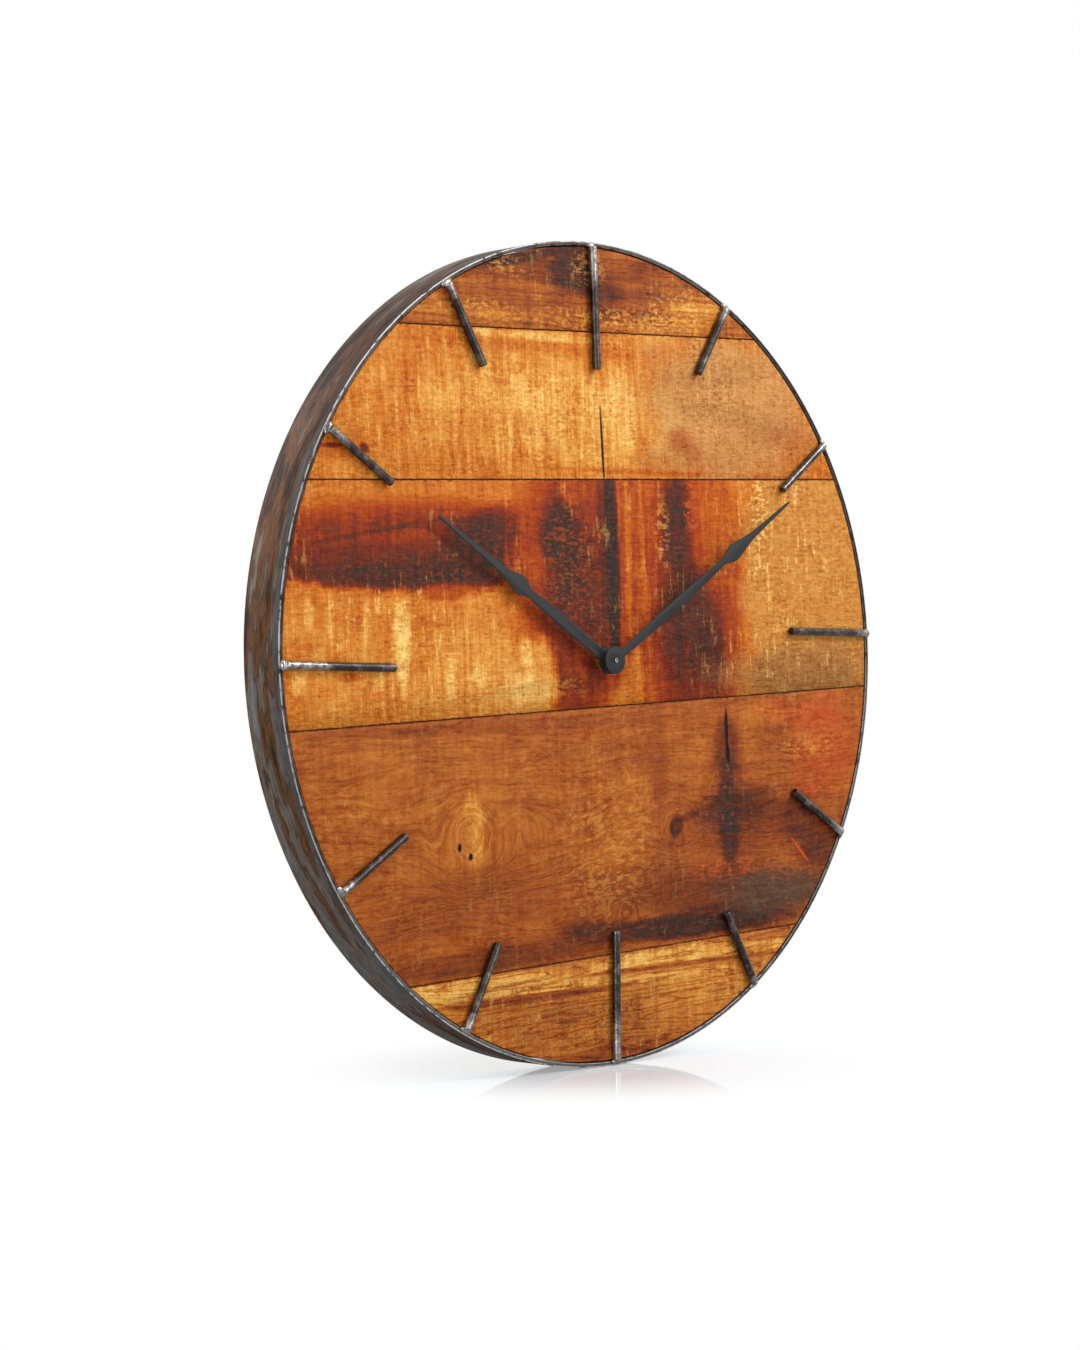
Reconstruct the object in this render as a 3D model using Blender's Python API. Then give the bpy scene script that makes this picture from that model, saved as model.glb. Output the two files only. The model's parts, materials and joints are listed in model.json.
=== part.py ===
# Round wall clock: five reclaimed teak planks in a welded steel hoop, with a battery movement behind them.
# Metres. +Z points to 12 o'clock, +X to 3 o'clock, the face looks along -Y and the wall is at +Y.
# The origin is the middle of the clock's box: the hoop's centre, halfway between its frontmost
# point, the end of the minute shaft, and the hoop's rear edge.
# Depths are counted from the hoop's front edge towards the wall.

import math

import bmesh
import bpy
from mathutils import Vector

# Clearance between touching pieces, and how far a cutting shape runs past what it cuts
gap = 0.0003
overrun = 0.002

# Steel hoop, a flat bar on edge
hoop_outer_radius = 0.300
hoop_wall = 0.003
hoop_depth = 0.038
hoop_sides = 120

# Round hour bars that lie on the wood; their outer ends meet the hoop, with a weld on its front edge
bar_radius = 0.003
bar_sides = 12
bar_bevel = 0.0005
bar_end_gap = 0.0006
quarter_bar_length = 0.0924
hour_bar_length = 0.0637
weld_half_width = 0.0052
weld_height = 0.0026
weld_lap = 0.0012
weld_sides = 10
# Rings of the weld's mound as (share of its height, share of its width)
weld_ring_shares = ((0, 1), (0.5, 0.87), (0.87, 0.5))
# The bars of 1 to 12 o'clock: place on the rim, clockwise from 12, lean from pointing at the centre,
# and length as a share of the length of their kind, since each was cut and set by hand
bar_rim_degrees = (29.1, 58.0, 88.5, 120.1, 149.9, 180.5, 210.0, 239.2, 270.2, 302.2, 331.8, 0.5)
bar_lean_degrees = (-4.8, 3.2, -3.9, -2.8, -2.9, -1.8, 0.5, -0.5, -2.7, -2.3, 0.3, 0.4)
bar_length_shares = (0.963, 0.977, 0.988, 1.019, 1.003, 1.018, 1.020, 1.030, 1.023, 0.992, 0.998, 0.970)

# Planks, cut to one disc that lies a little behind the hoop's front edge
wood_recess = 0.001
wood_gap = 0.0009
plank_thickness = 0.015
plank_gap = 0.0005
disc_sides = 96
# Height of each seam over the middle as a share of the disc's radius, top seam first, and its slope
seam_height_shares = (0.792, 0.429, -0.131, -0.741)
seam_slope_shares = (0.014, 0.012, 0.015, 0.015)

# Plywood disc that the planks are glued to
backer_inset = 0.004
backer_thickness = 0.006
backer_window_gap = 0.003

# Tabs welded inside the hoop, and their screws
tab_count = 4
tab_width = 0.025
tab_length = 0.026
tab_thickness = 0.003
tab_screw_inset = 0.016
screw_shaft_radius = 0.002
screw_head_radius = 0.0042
screw_head_height = 0.0024
screw_crown = 0.0008
screw_length = 0.016
screw_slot_width = 0.0011
screw_slot_reach = 0.0026
screw_slot_depth = 0.0012
screw_sides = 12

# Hanger plate, welded inside the hoop at 12, with a keyhole for a wall screw
hanger_width = 0.040
hanger_drop = 0.060
hanger_thickness = 0.003
hanger_standoff = 0.0095
keyhole_drop = 0.047
keyhole_head_radius = 0.0055
keyhole_slot_radius = 0.0029
keyhole_slot_length = 0.014
keyhole_head_steps = 20
keyhole_slot_steps = 10

# The hands' axis, drilled a little under the hoop's centre
axis_drop = 0.005

# Hands, cut from sheet, in front of the hoop's front edge
hand_sheet = 0.0008
hour_hand_front = 0.0065
minute_hand_front = 0.0131
shaft_end_front = 0.0141
hour_hand_length = 0.192
minute_hand_length = 0.229
hand_boss_radius = 0.010
hand_boss_sides = 28
collar_height = 0.0020
collar_wall = 0.0012
hub_fit = 0.0001
# Where the hands point at rest, clockwise from 12, near eight minutes past ten
hour_hand_degrees = 303.2
minute_hand_degrees = 59.4
# Half widths along a hand as (share of its length, share of its head's half width)
hour_head_half_width = 0.0072
minute_head_half_width = 0.0067
hour_outline_shares = (
    (0.047, 0.55), (0.15, 0.60), (0.27, 0.66), (0.39, 0.57), (0.468, 0.42),
    (0.496, 0.66), (0.518, 0.95), (0.542, 1.00), (0.568, 0.82), (0.605, 0.53),
    (0.66, 0.40), (0.76, 0.29), (0.90, 0.22), (0.992, 0.16),
)
minute_outline_shares = (
    (0.040, 0.44), (0.12, 0.50), (0.26, 0.61), (0.39, 0.57), (0.50, 0.49), (0.600, 0.33),
    (0.633, 0.68), (0.652, 0.96), (0.672, 1.00), (0.698, 0.86), (0.740, 0.58),
    (0.785, 0.36), (0.86, 0.27), (0.95, 0.20), (0.993, 0.12),
)

# Nested shafts on the hands' axis
seconds_arbor_radius = 0.0005
shaft_wall = 0.0008
tube_wall = 0.0007
bushing_wall = 0.0010
bushing_flange = 0.0011
shaft_sides = 20
seconds_arbor_setback = 0.0007

# Washers and nut that clamp the movement to the wood
rubber_thickness = 0.0010
rubber_radius = 0.013
washer_thickness = 0.0005
washer_radius = 0.0070
nut_thickness = 0.0020
nut_half_flats = 0.0056
nut_sides = 6

# Gear teeth, as shares of the module and of the pitch
tooth_addendum_share = 0.70
tooth_dedendum_share = 1.00
tooth_tip_share = 0.18
tooth_root_share = 0.40
train_module = 0.00020
seconds_module = 0.00022
motion_module = 0.00033
cannon_teeth = 12
minute_wheel_teeth = 36
minute_pinion_teeth = 10
hour_wheel_teeth = 40
knob_pinion_teeth = 12
rotor_pinion_teeth = 12
intermediate_teeth = 60
intermediate_pinion_teeth = 10
seconds_teeth = 60
seconds_pinion_teeth = 8
third_teeth = 60
third_pinion_teeth = 8
centre_teeth = 64
wheel_thickness = 0.0008
layer_gap = 0.0004
arbor_radius = 0.0005
arbor_sides = 8
pivot_depth = 0.0005
# Directions between arbors, counter-clockwise from 3 o'clock as seen from the front
minute_wheel_degrees = 200.0
knob_degrees = 200.0
third_degrees = -10.0
intermediate_degrees = 120.0
rotor_degrees = 60.0

# Stepper motor, circuit board and crystal
magnet_radius = 0.0025
magnet_thickness = 0.0020
magnet_sides = 16
magnet_air_gap = 0.0005
stator_thickness = 0.0010
stator_half_width = 0.0125
stator_arm = 0.0045
coil_radius = 0.0034
coil_half_length = 0.0078
coil_core_height = 0.0016
coil_sides = 16
board_thickness = 0.0010
board_width = 0.0095
crystal_radius = 0.0010
crystal_length = 0.0060

# Movement case around the battery and the wheels
battery_length = 0.0495
battery_radius = 0.00725
battery_nub_radius = 0.0027
battery_nub_length = 0.0010
battery_sides = 24
contact_room = 0.0018
contact_thickness = 0.0004
contact_half_width = 0.0050
shell_wall = 0.0012
battery_sink = 0.0004
case_corner = 0.0025
corner_steps = 4
bay_wall_drop = 0.0112
cover_skirt = 0.0025
case_top_room = 0.0022
post_radius = 0.0012
middle_plate_thickness = 0.0008
middle_plate_half_width = 0.0200
plate_edge_room = 0.0008
knob_radius = 0.0042
knob_height = 0.0022
knob_ribs = 18
knob_rib_share = 0.90
knob_shaft_radius = 0.0012

# Round surfaces stay smooth up to this angle between faces
crease_degrees = 40

# Radii of the nested shafts, from the inside out
shaft_bore = seconds_arbor_radius + gap
minute_shaft_radius = shaft_bore + shaft_wall
tube_bore = minute_shaft_radius + gap
hour_tube_radius = tube_bore + tube_wall
bushing_bore = hour_tube_radius + gap
bushing_radius = bushing_bore + bushing_wall
bushing_hole = bushing_radius + gap

# Radii and places of the hoop and the disc
hoop_inner_radius = hoop_outer_radius - hoop_wall
bar_end_radius = hoop_inner_radius - bar_end_gap
weld_outer_radius = hoop_outer_radius - gap
weld_inner_radius = bar_end_radius - weld_lap
wood_radius = hoop_inner_radius - wood_gap
backer_radius = wood_radius - backer_inset
middle_depth = (hoop_depth - shaft_end_front) / 2

# Depths, front to back
bar_axis = wood_recess - gap - bar_radius
wood_back = wood_recess + plank_thickness
backer_front = wood_back + gap
backer_back = backer_front + backer_thickness
tab_front = backer_back + gap
tab_back = tab_front + tab_thickness
hanger_front = backer_back + hanger_standoff
hanger_back = hanger_front + hanger_thickness
rubber_front = wood_back + gap
rubber_back = rubber_front + rubber_thickness
case_front = rubber_back + gap
case_floor = case_front + shell_wall
hour_layer = case_floor + layer_gap
motion_layer = hour_layer + wheel_thickness + layer_gap
plate_front = motion_layer + wheel_thickness + layer_gap
plate_back = plate_front + middle_plate_thickness
centre_layer = plate_back + layer_gap
third_layer = centre_layer + wheel_thickness + layer_gap
seconds_layer = third_layer + wheel_thickness + layer_gap
intermediate_layer = seconds_layer + wheel_thickness + layer_gap
magnet_front = intermediate_layer + wheel_thickness + layer_gap
magnet_back = magnet_front + magnet_thickness
stator_front = magnet_front + (magnet_thickness - stator_thickness) / 2
stator_back = stator_front + stator_thickness
coil_depth = stator_back + gap + coil_core_height / 2
battery_depth = case_floor + layer_gap + battery_radius
bay_depth = battery_depth + battery_radius + battery_sink
cover_back = max(bay_depth, coil_depth + coil_radius + gap + shell_wall)
cover_front = cover_back - shell_wall
skirt_front = cover_front - cover_skirt
washer_back = wood_recess - gap
washer_front = washer_back - washer_thickness
nut_back = washer_front - gap
nut_front = nut_back - nut_thickness
bushing_front = nut_front - layer_gap
screw_head_front = tab_back + gap
board_back = stator_front + board_thickness

# Distances between arbors, and their places as (x, z)
motion_distance = motion_module * (cannon_teeth + minute_wheel_teeth) / 2
hour_module = 2 * motion_distance / (minute_pinion_teeth + hour_wheel_teeth)
knob_distance = motion_module * (minute_wheel_teeth + knob_pinion_teeth) / 2
third_distance = train_module * (third_pinion_teeth + centre_teeth) / 2
third_module = 2 * third_distance / (seconds_pinion_teeth + third_teeth)
intermediate_distance = seconds_module * (intermediate_pinion_teeth + seconds_teeth) / 2
rotor_distance = train_module * (rotor_pinion_teeth + intermediate_teeth) / 2


def step(place, distance, degrees):
    """The place at this distance and direction from another."""
    turn = math.radians(degrees)
    return (place[0] + distance * math.cos(turn), place[1] + distance * math.sin(turn))


hub = (0, -axis_drop)
minute_wheel_place = step(hub, motion_distance, minute_wheel_degrees)
knob_place = step(minute_wheel_place, knob_distance, knob_degrees)
third_place = step(hub, third_distance, third_degrees)
intermediate_place = step(hub, intermediate_distance, intermediate_degrees)
rotor_place = step(intermediate_place, rotor_distance, rotor_degrees)
wheel_pivots = (third_place, intermediate_place, rotor_place)

# Outlines of the motor and the case, as heights over the hub's centre line
coil_height = rotor_place[1] + magnet_radius + magnet_air_gap + stator_arm + coil_radius
case_half_width = battery_length / 2 + contact_room + shell_wall
case_top = coil_height + coil_radius + case_top_room + shell_wall
bay_wall_top = hub[1] - bay_wall_drop
bay_wall_bottom = bay_wall_top - shell_wall
battery_height = bay_wall_bottom - gap - battery_radius
case_bottom = battery_height - battery_radius - gap - shell_wall
board_right = case_half_width - shell_wall - plate_edge_room
board_left = board_right - board_width
board_middle = (board_left + board_right) / 2


def depth_y(depth):
    """World Y of a plane at this depth behind the hoop's front edge."""
    return depth - middle_depth


def material(name, colour, roughness, metallic):
    """A plain finish; the colour is linear red, green and blue."""
    finish = bpy.data.materials.new(name)
    finish.use_nodes = True
    shader = finish.node_tree.nodes["Principled BSDF"]
    shader.inputs["Base Color"].default_value = (*colour, 1)
    shader.inputs["Roughness"].default_value = roughness
    shader.inputs["Metallic"].default_value = metallic
    return finish


def mesh_object(name, bm, finish, place):
    """Turn a bmesh into an object whose origin lies at this (x, z) place."""
    bmesh.ops.recalc_face_normals(bm, faces=bm.faces)
    mesh = bpy.data.meshes.new(name)
    bm.to_mesh(mesh)
    bm.free()
    mesh.materials.append(finish)
    piece = bpy.data.objects.new(name, mesh)
    piece.location = (place[0], 0, place[1])
    bpy.context.scene.collection.objects.link(piece)
    return piece


def smooth(piece):
    """Shade round surfaces smooth and keep the edges sharp."""
    piece.data.shade_smooth()
    piece.data.set_sharp_from_angle(angle=math.radians(crease_degrees))
    return piece


def prism(name, outline, front, back, finish, place=(0, 0)):
    """An outline of (x, z) points, extruded from one depth to another."""
    bm = bmesh.new()
    face = bm.faces.new([bm.verts.new((x, depth_y(front), z)) for x, z in outline])
    grown = bmesh.ops.extrude_face_region(bm, geom=[face])
    far = [item for item in grown["geom"] if isinstance(item, bmesh.types.BMVert)]
    bmesh.ops.translate(bm, vec=(0, back - front, 0), verts=far)
    return mesh_object(name, bm, finish, place)


def turned(name, profile, sides, finish, place=(0, 0)):
    """A closed profile of (radius, depth) points, turned about a line along Y."""
    bm = bmesh.new()
    rings = []
    for radius, depth in profile:
        turns = [math.tau * side / sides for side in range(sides)] if radius else [0]
        points = [(radius * math.sin(turn), depth_y(depth), radius * math.cos(turn)) for turn in turns]
        rings.append([bm.verts.new(point) for point in points])
    for near, far in zip(rings, rings[1:] + rings[:1]):
        if len(near) + len(far) == 2:
            continue
        for side in range(sides):
            after = (side + 1) % sides
            near_pair = [near[side % len(near)], near[after % len(near)]]
            far_pair = [far[after % len(far)], far[side % len(far)]]
            bm.faces.new(list(dict.fromkeys(near_pair + far_pair)))
    return smooth(mesh_object(name, bm, finish, place))


def cylinder(name, radius, front, back, sides, finish, place=(0, 0)):
    """A plain round pin along Y."""
    return turned(name, [(0, front), (radius, front), (radius, back), (0, back)], sides, finish, place)


def loft(name, rings, finish):
    """A body through rings of points, with a flat cap on its first and its last ring."""
    bm = bmesh.new()
    loops = [[bm.verts.new(point) for point in ring] for ring in rings]
    for near, far in zip(loops, loops[1:]):
        for side in range(len(near)):
            after = (side + 1) % len(near)
            bm.faces.new((near[side], near[after], far[after], far[side]))
    bm.faces.new(loops[0])
    bm.faces.new(loops[-1])
    return mesh_object(name, bm, finish, (0, 0))


def rod(name, start, along, across, stations, sides, finish):
    """A round rod from a start point; stations are (reach, radius) along it."""
    upright = along.cross(across)
    rings = []
    for reach, radius in stations:
        turns = [math.tau * side / sides for side in range(sides)]
        spokes = [across * math.cos(turn) + upright * math.sin(turn) for turn in turns]
        rings.append([start + along * reach + spoke * radius for spoke in spokes])
    return smooth(loft(name, rings, finish))


def rectangle(left, right, bottom, top):
    """The four corners of an upright rectangle."""
    return [(left, bottom), (right, bottom), (right, top), (left, top)]


def rounded_rectangle(left, right, bottom, top, radius):
    """A rectangle with round corners."""
    points = []
    corners = (
        (right, bottom, 1, -1, 270), (right, top, 1, 1, 0),
        (left, top, -1, 1, 90), (left, bottom, -1, -1, 180),
    )
    for x, z, sign_x, sign_z, start in corners:
        centre = (x - sign_x * radius, z - sign_z * radius)
        for count in range(corner_steps + 1):
            points.append(step(centre, radius, start + 90 * count / corner_steps))
    return points


def combine(piece, tool, operation):
    """Cut a tool out of a piece, or join it on; the tool itself is only a guide."""
    modifier = piece.modifiers.new(operation.lower(), "BOOLEAN")
    modifier.operation = operation
    modifier.solver = "EXACT"
    modifier.object = tool
    tool.hide_render = True
    tool.display_type = "WIRE"


def cut(piece, tool):
    combine(piece, tool, "DIFFERENCE")


def fuse(piece, tool):
    combine(piece, tool, "UNION")


def round_cut(piece, radius, front, back, sides, place):
    """Cut a round hole from one depth to another."""
    name = f"{piece.name}_hole_{len(piece.modifiers)}"
    cut(piece, cylinder(name, radius, front, back, sides, piece.data.materials[0], place))


def through_hole(piece, radius, front, back, sides, place):
    """Cut a round hole right through what lies between two depths."""
    round_cut(piece, radius, front - overrun, back + overrun, sides, place)


def rim_place(radius, degrees):
    """The (x, z) place at this radius, clockwise from 12."""
    turn = math.radians(degrees)
    return (radius * math.sin(turn), radius * math.cos(turn))


def hoop(finish):
    """The flat bar bent to a hoop: a turned rectangle."""
    outer_side = [(hoop_outer_radius, 0), (hoop_outer_radius, hoop_depth)]
    inner_side = [(hoop_inner_radius, hoop_depth), (hoop_inner_radius, 0)]
    turned("hoop", outer_side + inner_side, hoop_sides, finish)


def weld_mound(name, degrees, finish):
    """A low oval mound on the hoop's front edge that laps over a bar's end."""
    middle = (weld_outer_radius + weld_inner_radius) / 2
    half_reach = (weld_outer_radius - weld_inner_radius) / 2
    rings = []
    for rise_share, spread_share in weld_ring_shares:
        ring = []
        for side in range(weld_sides):
            turn = math.tau * side / weld_sides
            x, z = rim_place(middle + half_reach * spread_share * math.sin(turn), degrees)
            along_x, along_z = rim_place(weld_half_width * spread_share * math.cos(turn), degrees + 90)
            ring.append((x + along_x, depth_y(-gap - rise_share * weld_height), z + along_z))
        rings.append(ring)
    return loft(name, rings, finish)


def hour_bar(hour, finish):
    """A round bar on the wood that points inward from the hoop, with its weld."""
    degrees = bar_rim_degrees[hour - 1]
    kind_length = hour_bar_length if hour % 3 else quarter_bar_length
    length = kind_length * bar_length_shares[hour - 1]
    rim_x, rim_z = rim_place(bar_end_radius, degrees)
    inward_x, inward_z = rim_place(1, degrees + 180 - bar_lean_degrees[hour - 1])
    start = Vector((rim_x, depth_y(bar_axis), rim_z))
    stations = (
        (0, bar_radius - bar_bevel), (bar_bevel, bar_radius),
        (length - bar_bevel, bar_radius), (length, bar_radius - bar_bevel),
    )
    inward = Vector((inward_x, 0, inward_z))
    sideways = Vector((inward_z, 0, -inward_x))
    bar = rod(f"hour_bar_{hour}", start, inward, sideways, stations, bar_sides, finish)
    fuse(bar, weld_mound(f"weld_mound_{hour}", degrees, finish))


def seam_line(index, side):
    """Height at the middle and slope of one side of a seam; side is 1 above it and -1 below it."""
    return (seam_height_shares[index] * wood_radius + side * plank_gap / 2, seam_slope_shares[index])


def seam_angles(line):
    """Where a seam meets the disc's rim, left and right, counter-clockwise from 3 o'clock."""
    height, slope = line
    tilt = math.atan(slope)
    spread = math.asin(height * math.cos(tilt) / wood_radius)
    return (math.pi - spread + tilt, spread + tilt)


def rim_arc(start, end):
    """Points on the disc's rim from one angle to another, counter-clockwise."""
    count = max(2, round(abs(end - start) / math.tau * disc_sides))
    turns = [start + (end - start) * number / count for number in range(count + 1)]
    return [(wood_radius * math.cos(turn), wood_radius * math.sin(turn)) for turn in turns]


def plank_outline(number):
    """The outline of one plank, numbered from the top."""
    if number == 1:
        left, right = seam_angles(seam_line(0, 1))
        return rim_arc(right, left)
    last = len(seam_height_shares) + 1
    upper_left, upper_right = seam_angles(seam_line(number - 2, -1))
    if number == last:
        return rim_arc(upper_left, upper_right + math.tau)
    lower_left, lower_right = seam_angles(seam_line(number - 1, 1))
    return rim_arc(lower_right, upper_right) + rim_arc(upper_left, lower_left)


def screw_places():
    """Where the tab screws go through: halfway between the quarter bars."""
    radius = hoop_inner_radius - tab_screw_inset
    return [rim_place(radius, 360 * (number + 0.5) / tab_count) for number in range(tab_count)]


def planks(finish):
    """The five planks, with the hole for the bushing and blind holes for the screws."""
    pilot_radius = screw_shaft_radius + gap
    pilot_front = screw_head_front - screw_length - gap
    for number in range(1, len(seam_height_shares) + 2):
        outline = plank_outline(number)
        plank = prism(f"plank_{number}", outline, wood_recess, wood_back, finish)
        heights = [point[1] for point in outline]
        if min(heights) < hub[1] < max(heights):
            through_hole(plank, bushing_hole, wood_recess, wood_back, shaft_sides, hub)
        for place in screw_places():
            if min(heights) < place[1] < max(heights) and pilot_front < wood_back:
                round_cut(plank, pilot_radius, pilot_front, wood_back + overrun, screw_sides, place)


def backer_board(finish):
    """The plywood disc with its window for the movement."""
    board = cylinder("backer_board", backer_radius, backer_front, backer_back, disc_sides, finish)
    half_width = case_half_width + backer_window_gap
    window_bottom = case_bottom - backer_window_gap
    window_top = case_top + backer_window_gap
    window = rectangle(-half_width, half_width, window_bottom, window_top)
    cut(board, prism("movement_window", window, backer_front - overrun, backer_back + overrun, finish))
    for place in screw_places():
        through_hole(board, screw_shaft_radius + gap, backer_front, backer_back, screw_sides, place)


def fixing_tab(number, place, finish):
    """A flat tab behind the backer whose outer end meets the hoop."""
    outer = math.sqrt((hoop_inner_radius - gap) ** 2 - (tab_width / 2) ** 2)
    outline = rectangle(-tab_width / 2, tab_width / 2, outer - tab_length, outer)
    tab = prism(f"fixing_tab_{number}", outline, tab_front, tab_back, finish)
    tab.rotation_euler = (0, math.atan2(place[0], place[1]), 0)
    through_hole(tab, screw_shaft_radius + gap, tab_front, tab_back, screw_sides, place)


def tab_screw(number, place, finish):
    """A pan head screw with a cross recess."""
    rear = screw_head_front + screw_head_height
    tip = screw_head_front - screw_length
    profile = [
        (0, tip), (screw_shaft_radius, tip + screw_shaft_radius),
        (screw_shaft_radius, screw_head_front), (screw_head_radius, screw_head_front),
        (screw_head_radius, rear - screw_crown), (screw_head_radius - screw_crown, rear), (0, rear),
    ]
    screw = turned(f"tab_screw_{number}", profile, screw_sides, finish, place)
    slot = screw_slot_width / 2
    reach = screw_slot_reach
    cross = [
        (slot, slot), (slot, reach), (-slot, reach), (-slot, slot), (-reach, slot), (-reach, -slot),
        (-slot, -slot), (-slot, -reach), (slot, -reach), (slot, -slot), (reach, -slot), (reach, slot),
    ]
    slot_floor = rear - screw_slot_depth
    cut(screw, prism(f"screw_recess_{number}", cross, slot_floor, rear + overrun, finish, place))


def wall_hanger(finish):
    """The hanger plate: a keyhole whose wide hole is at the bottom, so the clock drops onto the screw."""
    top = math.sqrt((hoop_inner_radius - gap) ** 2 - (hanger_width / 2) ** 2)
    outline = rectangle(-hanger_width / 2, hanger_width / 2, top - hanger_drop, top)
    plate = prism("wall_hanger", outline, hanger_front, hanger_back, finish)
    head = (0, hoop_inner_radius - keyhole_drop)
    slot_top = (0, head[1] + keyhole_slot_length)
    half_mouth = math.degrees(math.asin(keyhole_slot_radius / keyhole_head_radius))
    head_sweep = 360 - 2 * half_mouth
    keyhole = []
    for count in range(keyhole_head_steps + 1):
        degrees = 90 + half_mouth + head_sweep * count / keyhole_head_steps
        keyhole.append(step(head, keyhole_head_radius, degrees))
    for count in range(keyhole_slot_steps + 1):
        keyhole.append(step(slot_top, keyhole_slot_radius, 180 * count / keyhole_slot_steps))
    cut(plate, prism("keyhole", keyhole, hanger_front - overrun, hanger_back + overrun, finish))


def hand_outline(length, half_width, shares, degrees):
    """A hand's outline: round boss, leaf-shaped arm, diamond head and needle."""
    first_half = shares[0][1] * half_width
    boss_turn = math.degrees(math.asin(first_half / hand_boss_radius))
    boss = []
    for count in range(hand_boss_sides + 1):
        sweep = (360 - 2 * boss_turn) * count / hand_boss_sides
        boss.append(step((0, 0), hand_boss_radius, 90 + boss_turn + sweep))
    right = [(share * half_width, along * length) for along, share in shares[1:]]
    left = [(-x, z) for x, z in reversed(right)]
    cosine = math.cos(math.radians(degrees))
    sine = math.sin(math.radians(degrees))
    return [(x * cosine + z * sine, z * cosine - x * sine) for x, z in boss + right + [(0, length)] + left]


def hand(name, outline, front, shaft_radius, finish):
    """A hand of flat sheet with a collar behind its boss, bored for its shaft."""
    sheet_back = front + hand_sheet
    piece = prism(name, outline, front, sheet_back, finish, hub)
    collar_back = sheet_back + collar_height
    bore = shaft_radius + hub_fit
    collar_front = sheet_back - hand_sheet / 2
    radius = bore + collar_wall
    fuse(piece, cylinder(f"{name}_collar", radius, collar_front, collar_back, shaft_sides, finish, hub))
    through_hole(piece, bore, front, collar_back, shaft_sides, hub)


def gear_outline(teeth, module, phase):
    """The outline of a gear with plain sloping teeth; one tooth points along phase, in radians."""
    pitch = math.tau / teeth
    tip = module * (teeth / 2 + tooth_addendum_share)
    root = module * (teeth / 2 - tooth_dedendum_share)
    tooth = (
        (root, -tooth_root_share), (tip, -tooth_tip_share),
        (tip, tooth_tip_share), (root, tooth_root_share),
    )
    points = []
    for number in range(teeth):
        middle = phase + number * pitch
        for radius, share in tooth:
            turn = middle + share * pitch / 2
            points.append((radius * math.cos(turn), radius * math.sin(turn)))
    return points


def mesh_phase(phase, teeth, degrees, other_teeth):
    """The phase at which a second gear, in this direction, has its gaps at the first one's teeth."""
    line = math.radians(degrees)
    lead = ((line - phase) * teeth / math.tau) % 1
    return line + math.pi - (0.5 - lead) * math.tau / other_teeth


def wheel(name, teeth, module, phase, layer, bore, finish, place):
    """A flat gear with a hole for its shaft."""
    back = layer + wheel_thickness
    disc = prism(name, gear_outline(teeth, module, phase), layer, back, finish, place)
    through_hole(disc, bore, layer, back, shaft_sides, place)
    return disc


def pinion(name, teeth, module, phase, front, back, finish, place):
    """A small gear that is joined to its wheel or shaft."""
    return prism(name, gear_outline(teeth, module, phase), front, back, finish, place)


def arbor_wheel(name, gears, front, back, radius, finish, place):
    """A wheel and its pinion on one solid arbor; gears are (teeth, module, phase, front, back)."""
    arbor = cylinder(name, radius, front, back, arbor_sides, finish, place)
    for index, (teeth, module, phase, low, high) in enumerate(gears):
        fuse(arbor, pinion(f"{name}_gear_{index}", teeth, module, phase, low, high, finish, place))
    return arbor


def pipe(name, bore, radius, front, back, finish):
    """A tube on the hands' axis."""
    profile = [(bore, front), (radius, front), (radius, back), (bore, back)]
    return turned(name, profile, shaft_sides, finish, hub)


def motion_work(brass, steel, plastic):
    """The gears that turn the hour hand once in twelve turns of the minute hand."""
    wheel_phase = mesh_phase(0, cannon_teeth, minute_wheel_degrees, minute_wheel_teeth)
    shaft_back = centre_layer + wheel_thickness
    shaft = pipe("minute_shaft", shaft_bore, minute_shaft_radius, -shaft_end_front, shaft_back, steel)
    bore = (shaft_bore + minute_shaft_radius) / 2
    fuse(shaft, wheel("cannon_pinion", cannon_teeth, motion_module, 0, motion_layer, bore, steel, hub))

    gears = (
        (minute_wheel_teeth, motion_module, wheel_phase, motion_layer, motion_layer + wheel_thickness),
        (minute_pinion_teeth, hour_module, 0, hour_layer, motion_layer + layer_gap),
    )
    front = case_front + pivot_depth
    back = plate_back - gap
    arbor_wheel("minute_wheel", gears, front, back, arbor_radius, plastic, minute_wheel_place)

    phase = mesh_phase(0, minute_pinion_teeth, minute_wheel_degrees + 180, hour_wheel_teeth)
    tube_front = -hour_hand_front - layer_gap
    tube = pipe("hour_wheel", tube_bore, hour_tube_radius, tube_front, hour_layer + wheel_thickness, brass)
    bore = (tube_bore + hour_tube_radius) / 2
    disc = wheel("hour_wheel_disc", hour_wheel_teeth, hour_module, phase, hour_layer, bore, brass, hub)
    fuse(tube, disc)


def setting_knob(plastic):
    """The knob at the rear, whose pinion turns the minute wheel."""
    wheel_phase = mesh_phase(0, cannon_teeth, minute_wheel_degrees, minute_wheel_teeth)
    knob_phase = mesh_phase(wheel_phase, minute_wheel_teeth, knob_degrees, knob_pinion_teeth)
    knob_front = cover_back + gap
    knob_back = knob_front + knob_height
    gears = ((knob_pinion_teeth, motion_module, knob_phase, motion_layer, motion_layer + wheel_thickness),)
    stem_back = knob_front + knob_height / 2
    stem_front = case_front + pivot_depth
    knob = arbor_wheel("setting_knob", gears, stem_front, stem_back, knob_shaft_radius, plastic, knob_place)
    ribs = []
    for number in range(2 * knob_ribs):
        radius = knob_radius * (knob_rib_share if number % 2 else 1)
        ribs.append(step((0, 0), radius, 180 * number / knob_ribs))
    fuse(knob, prism("knob_head", ribs, knob_front, knob_back, plastic, knob_place))


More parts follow.
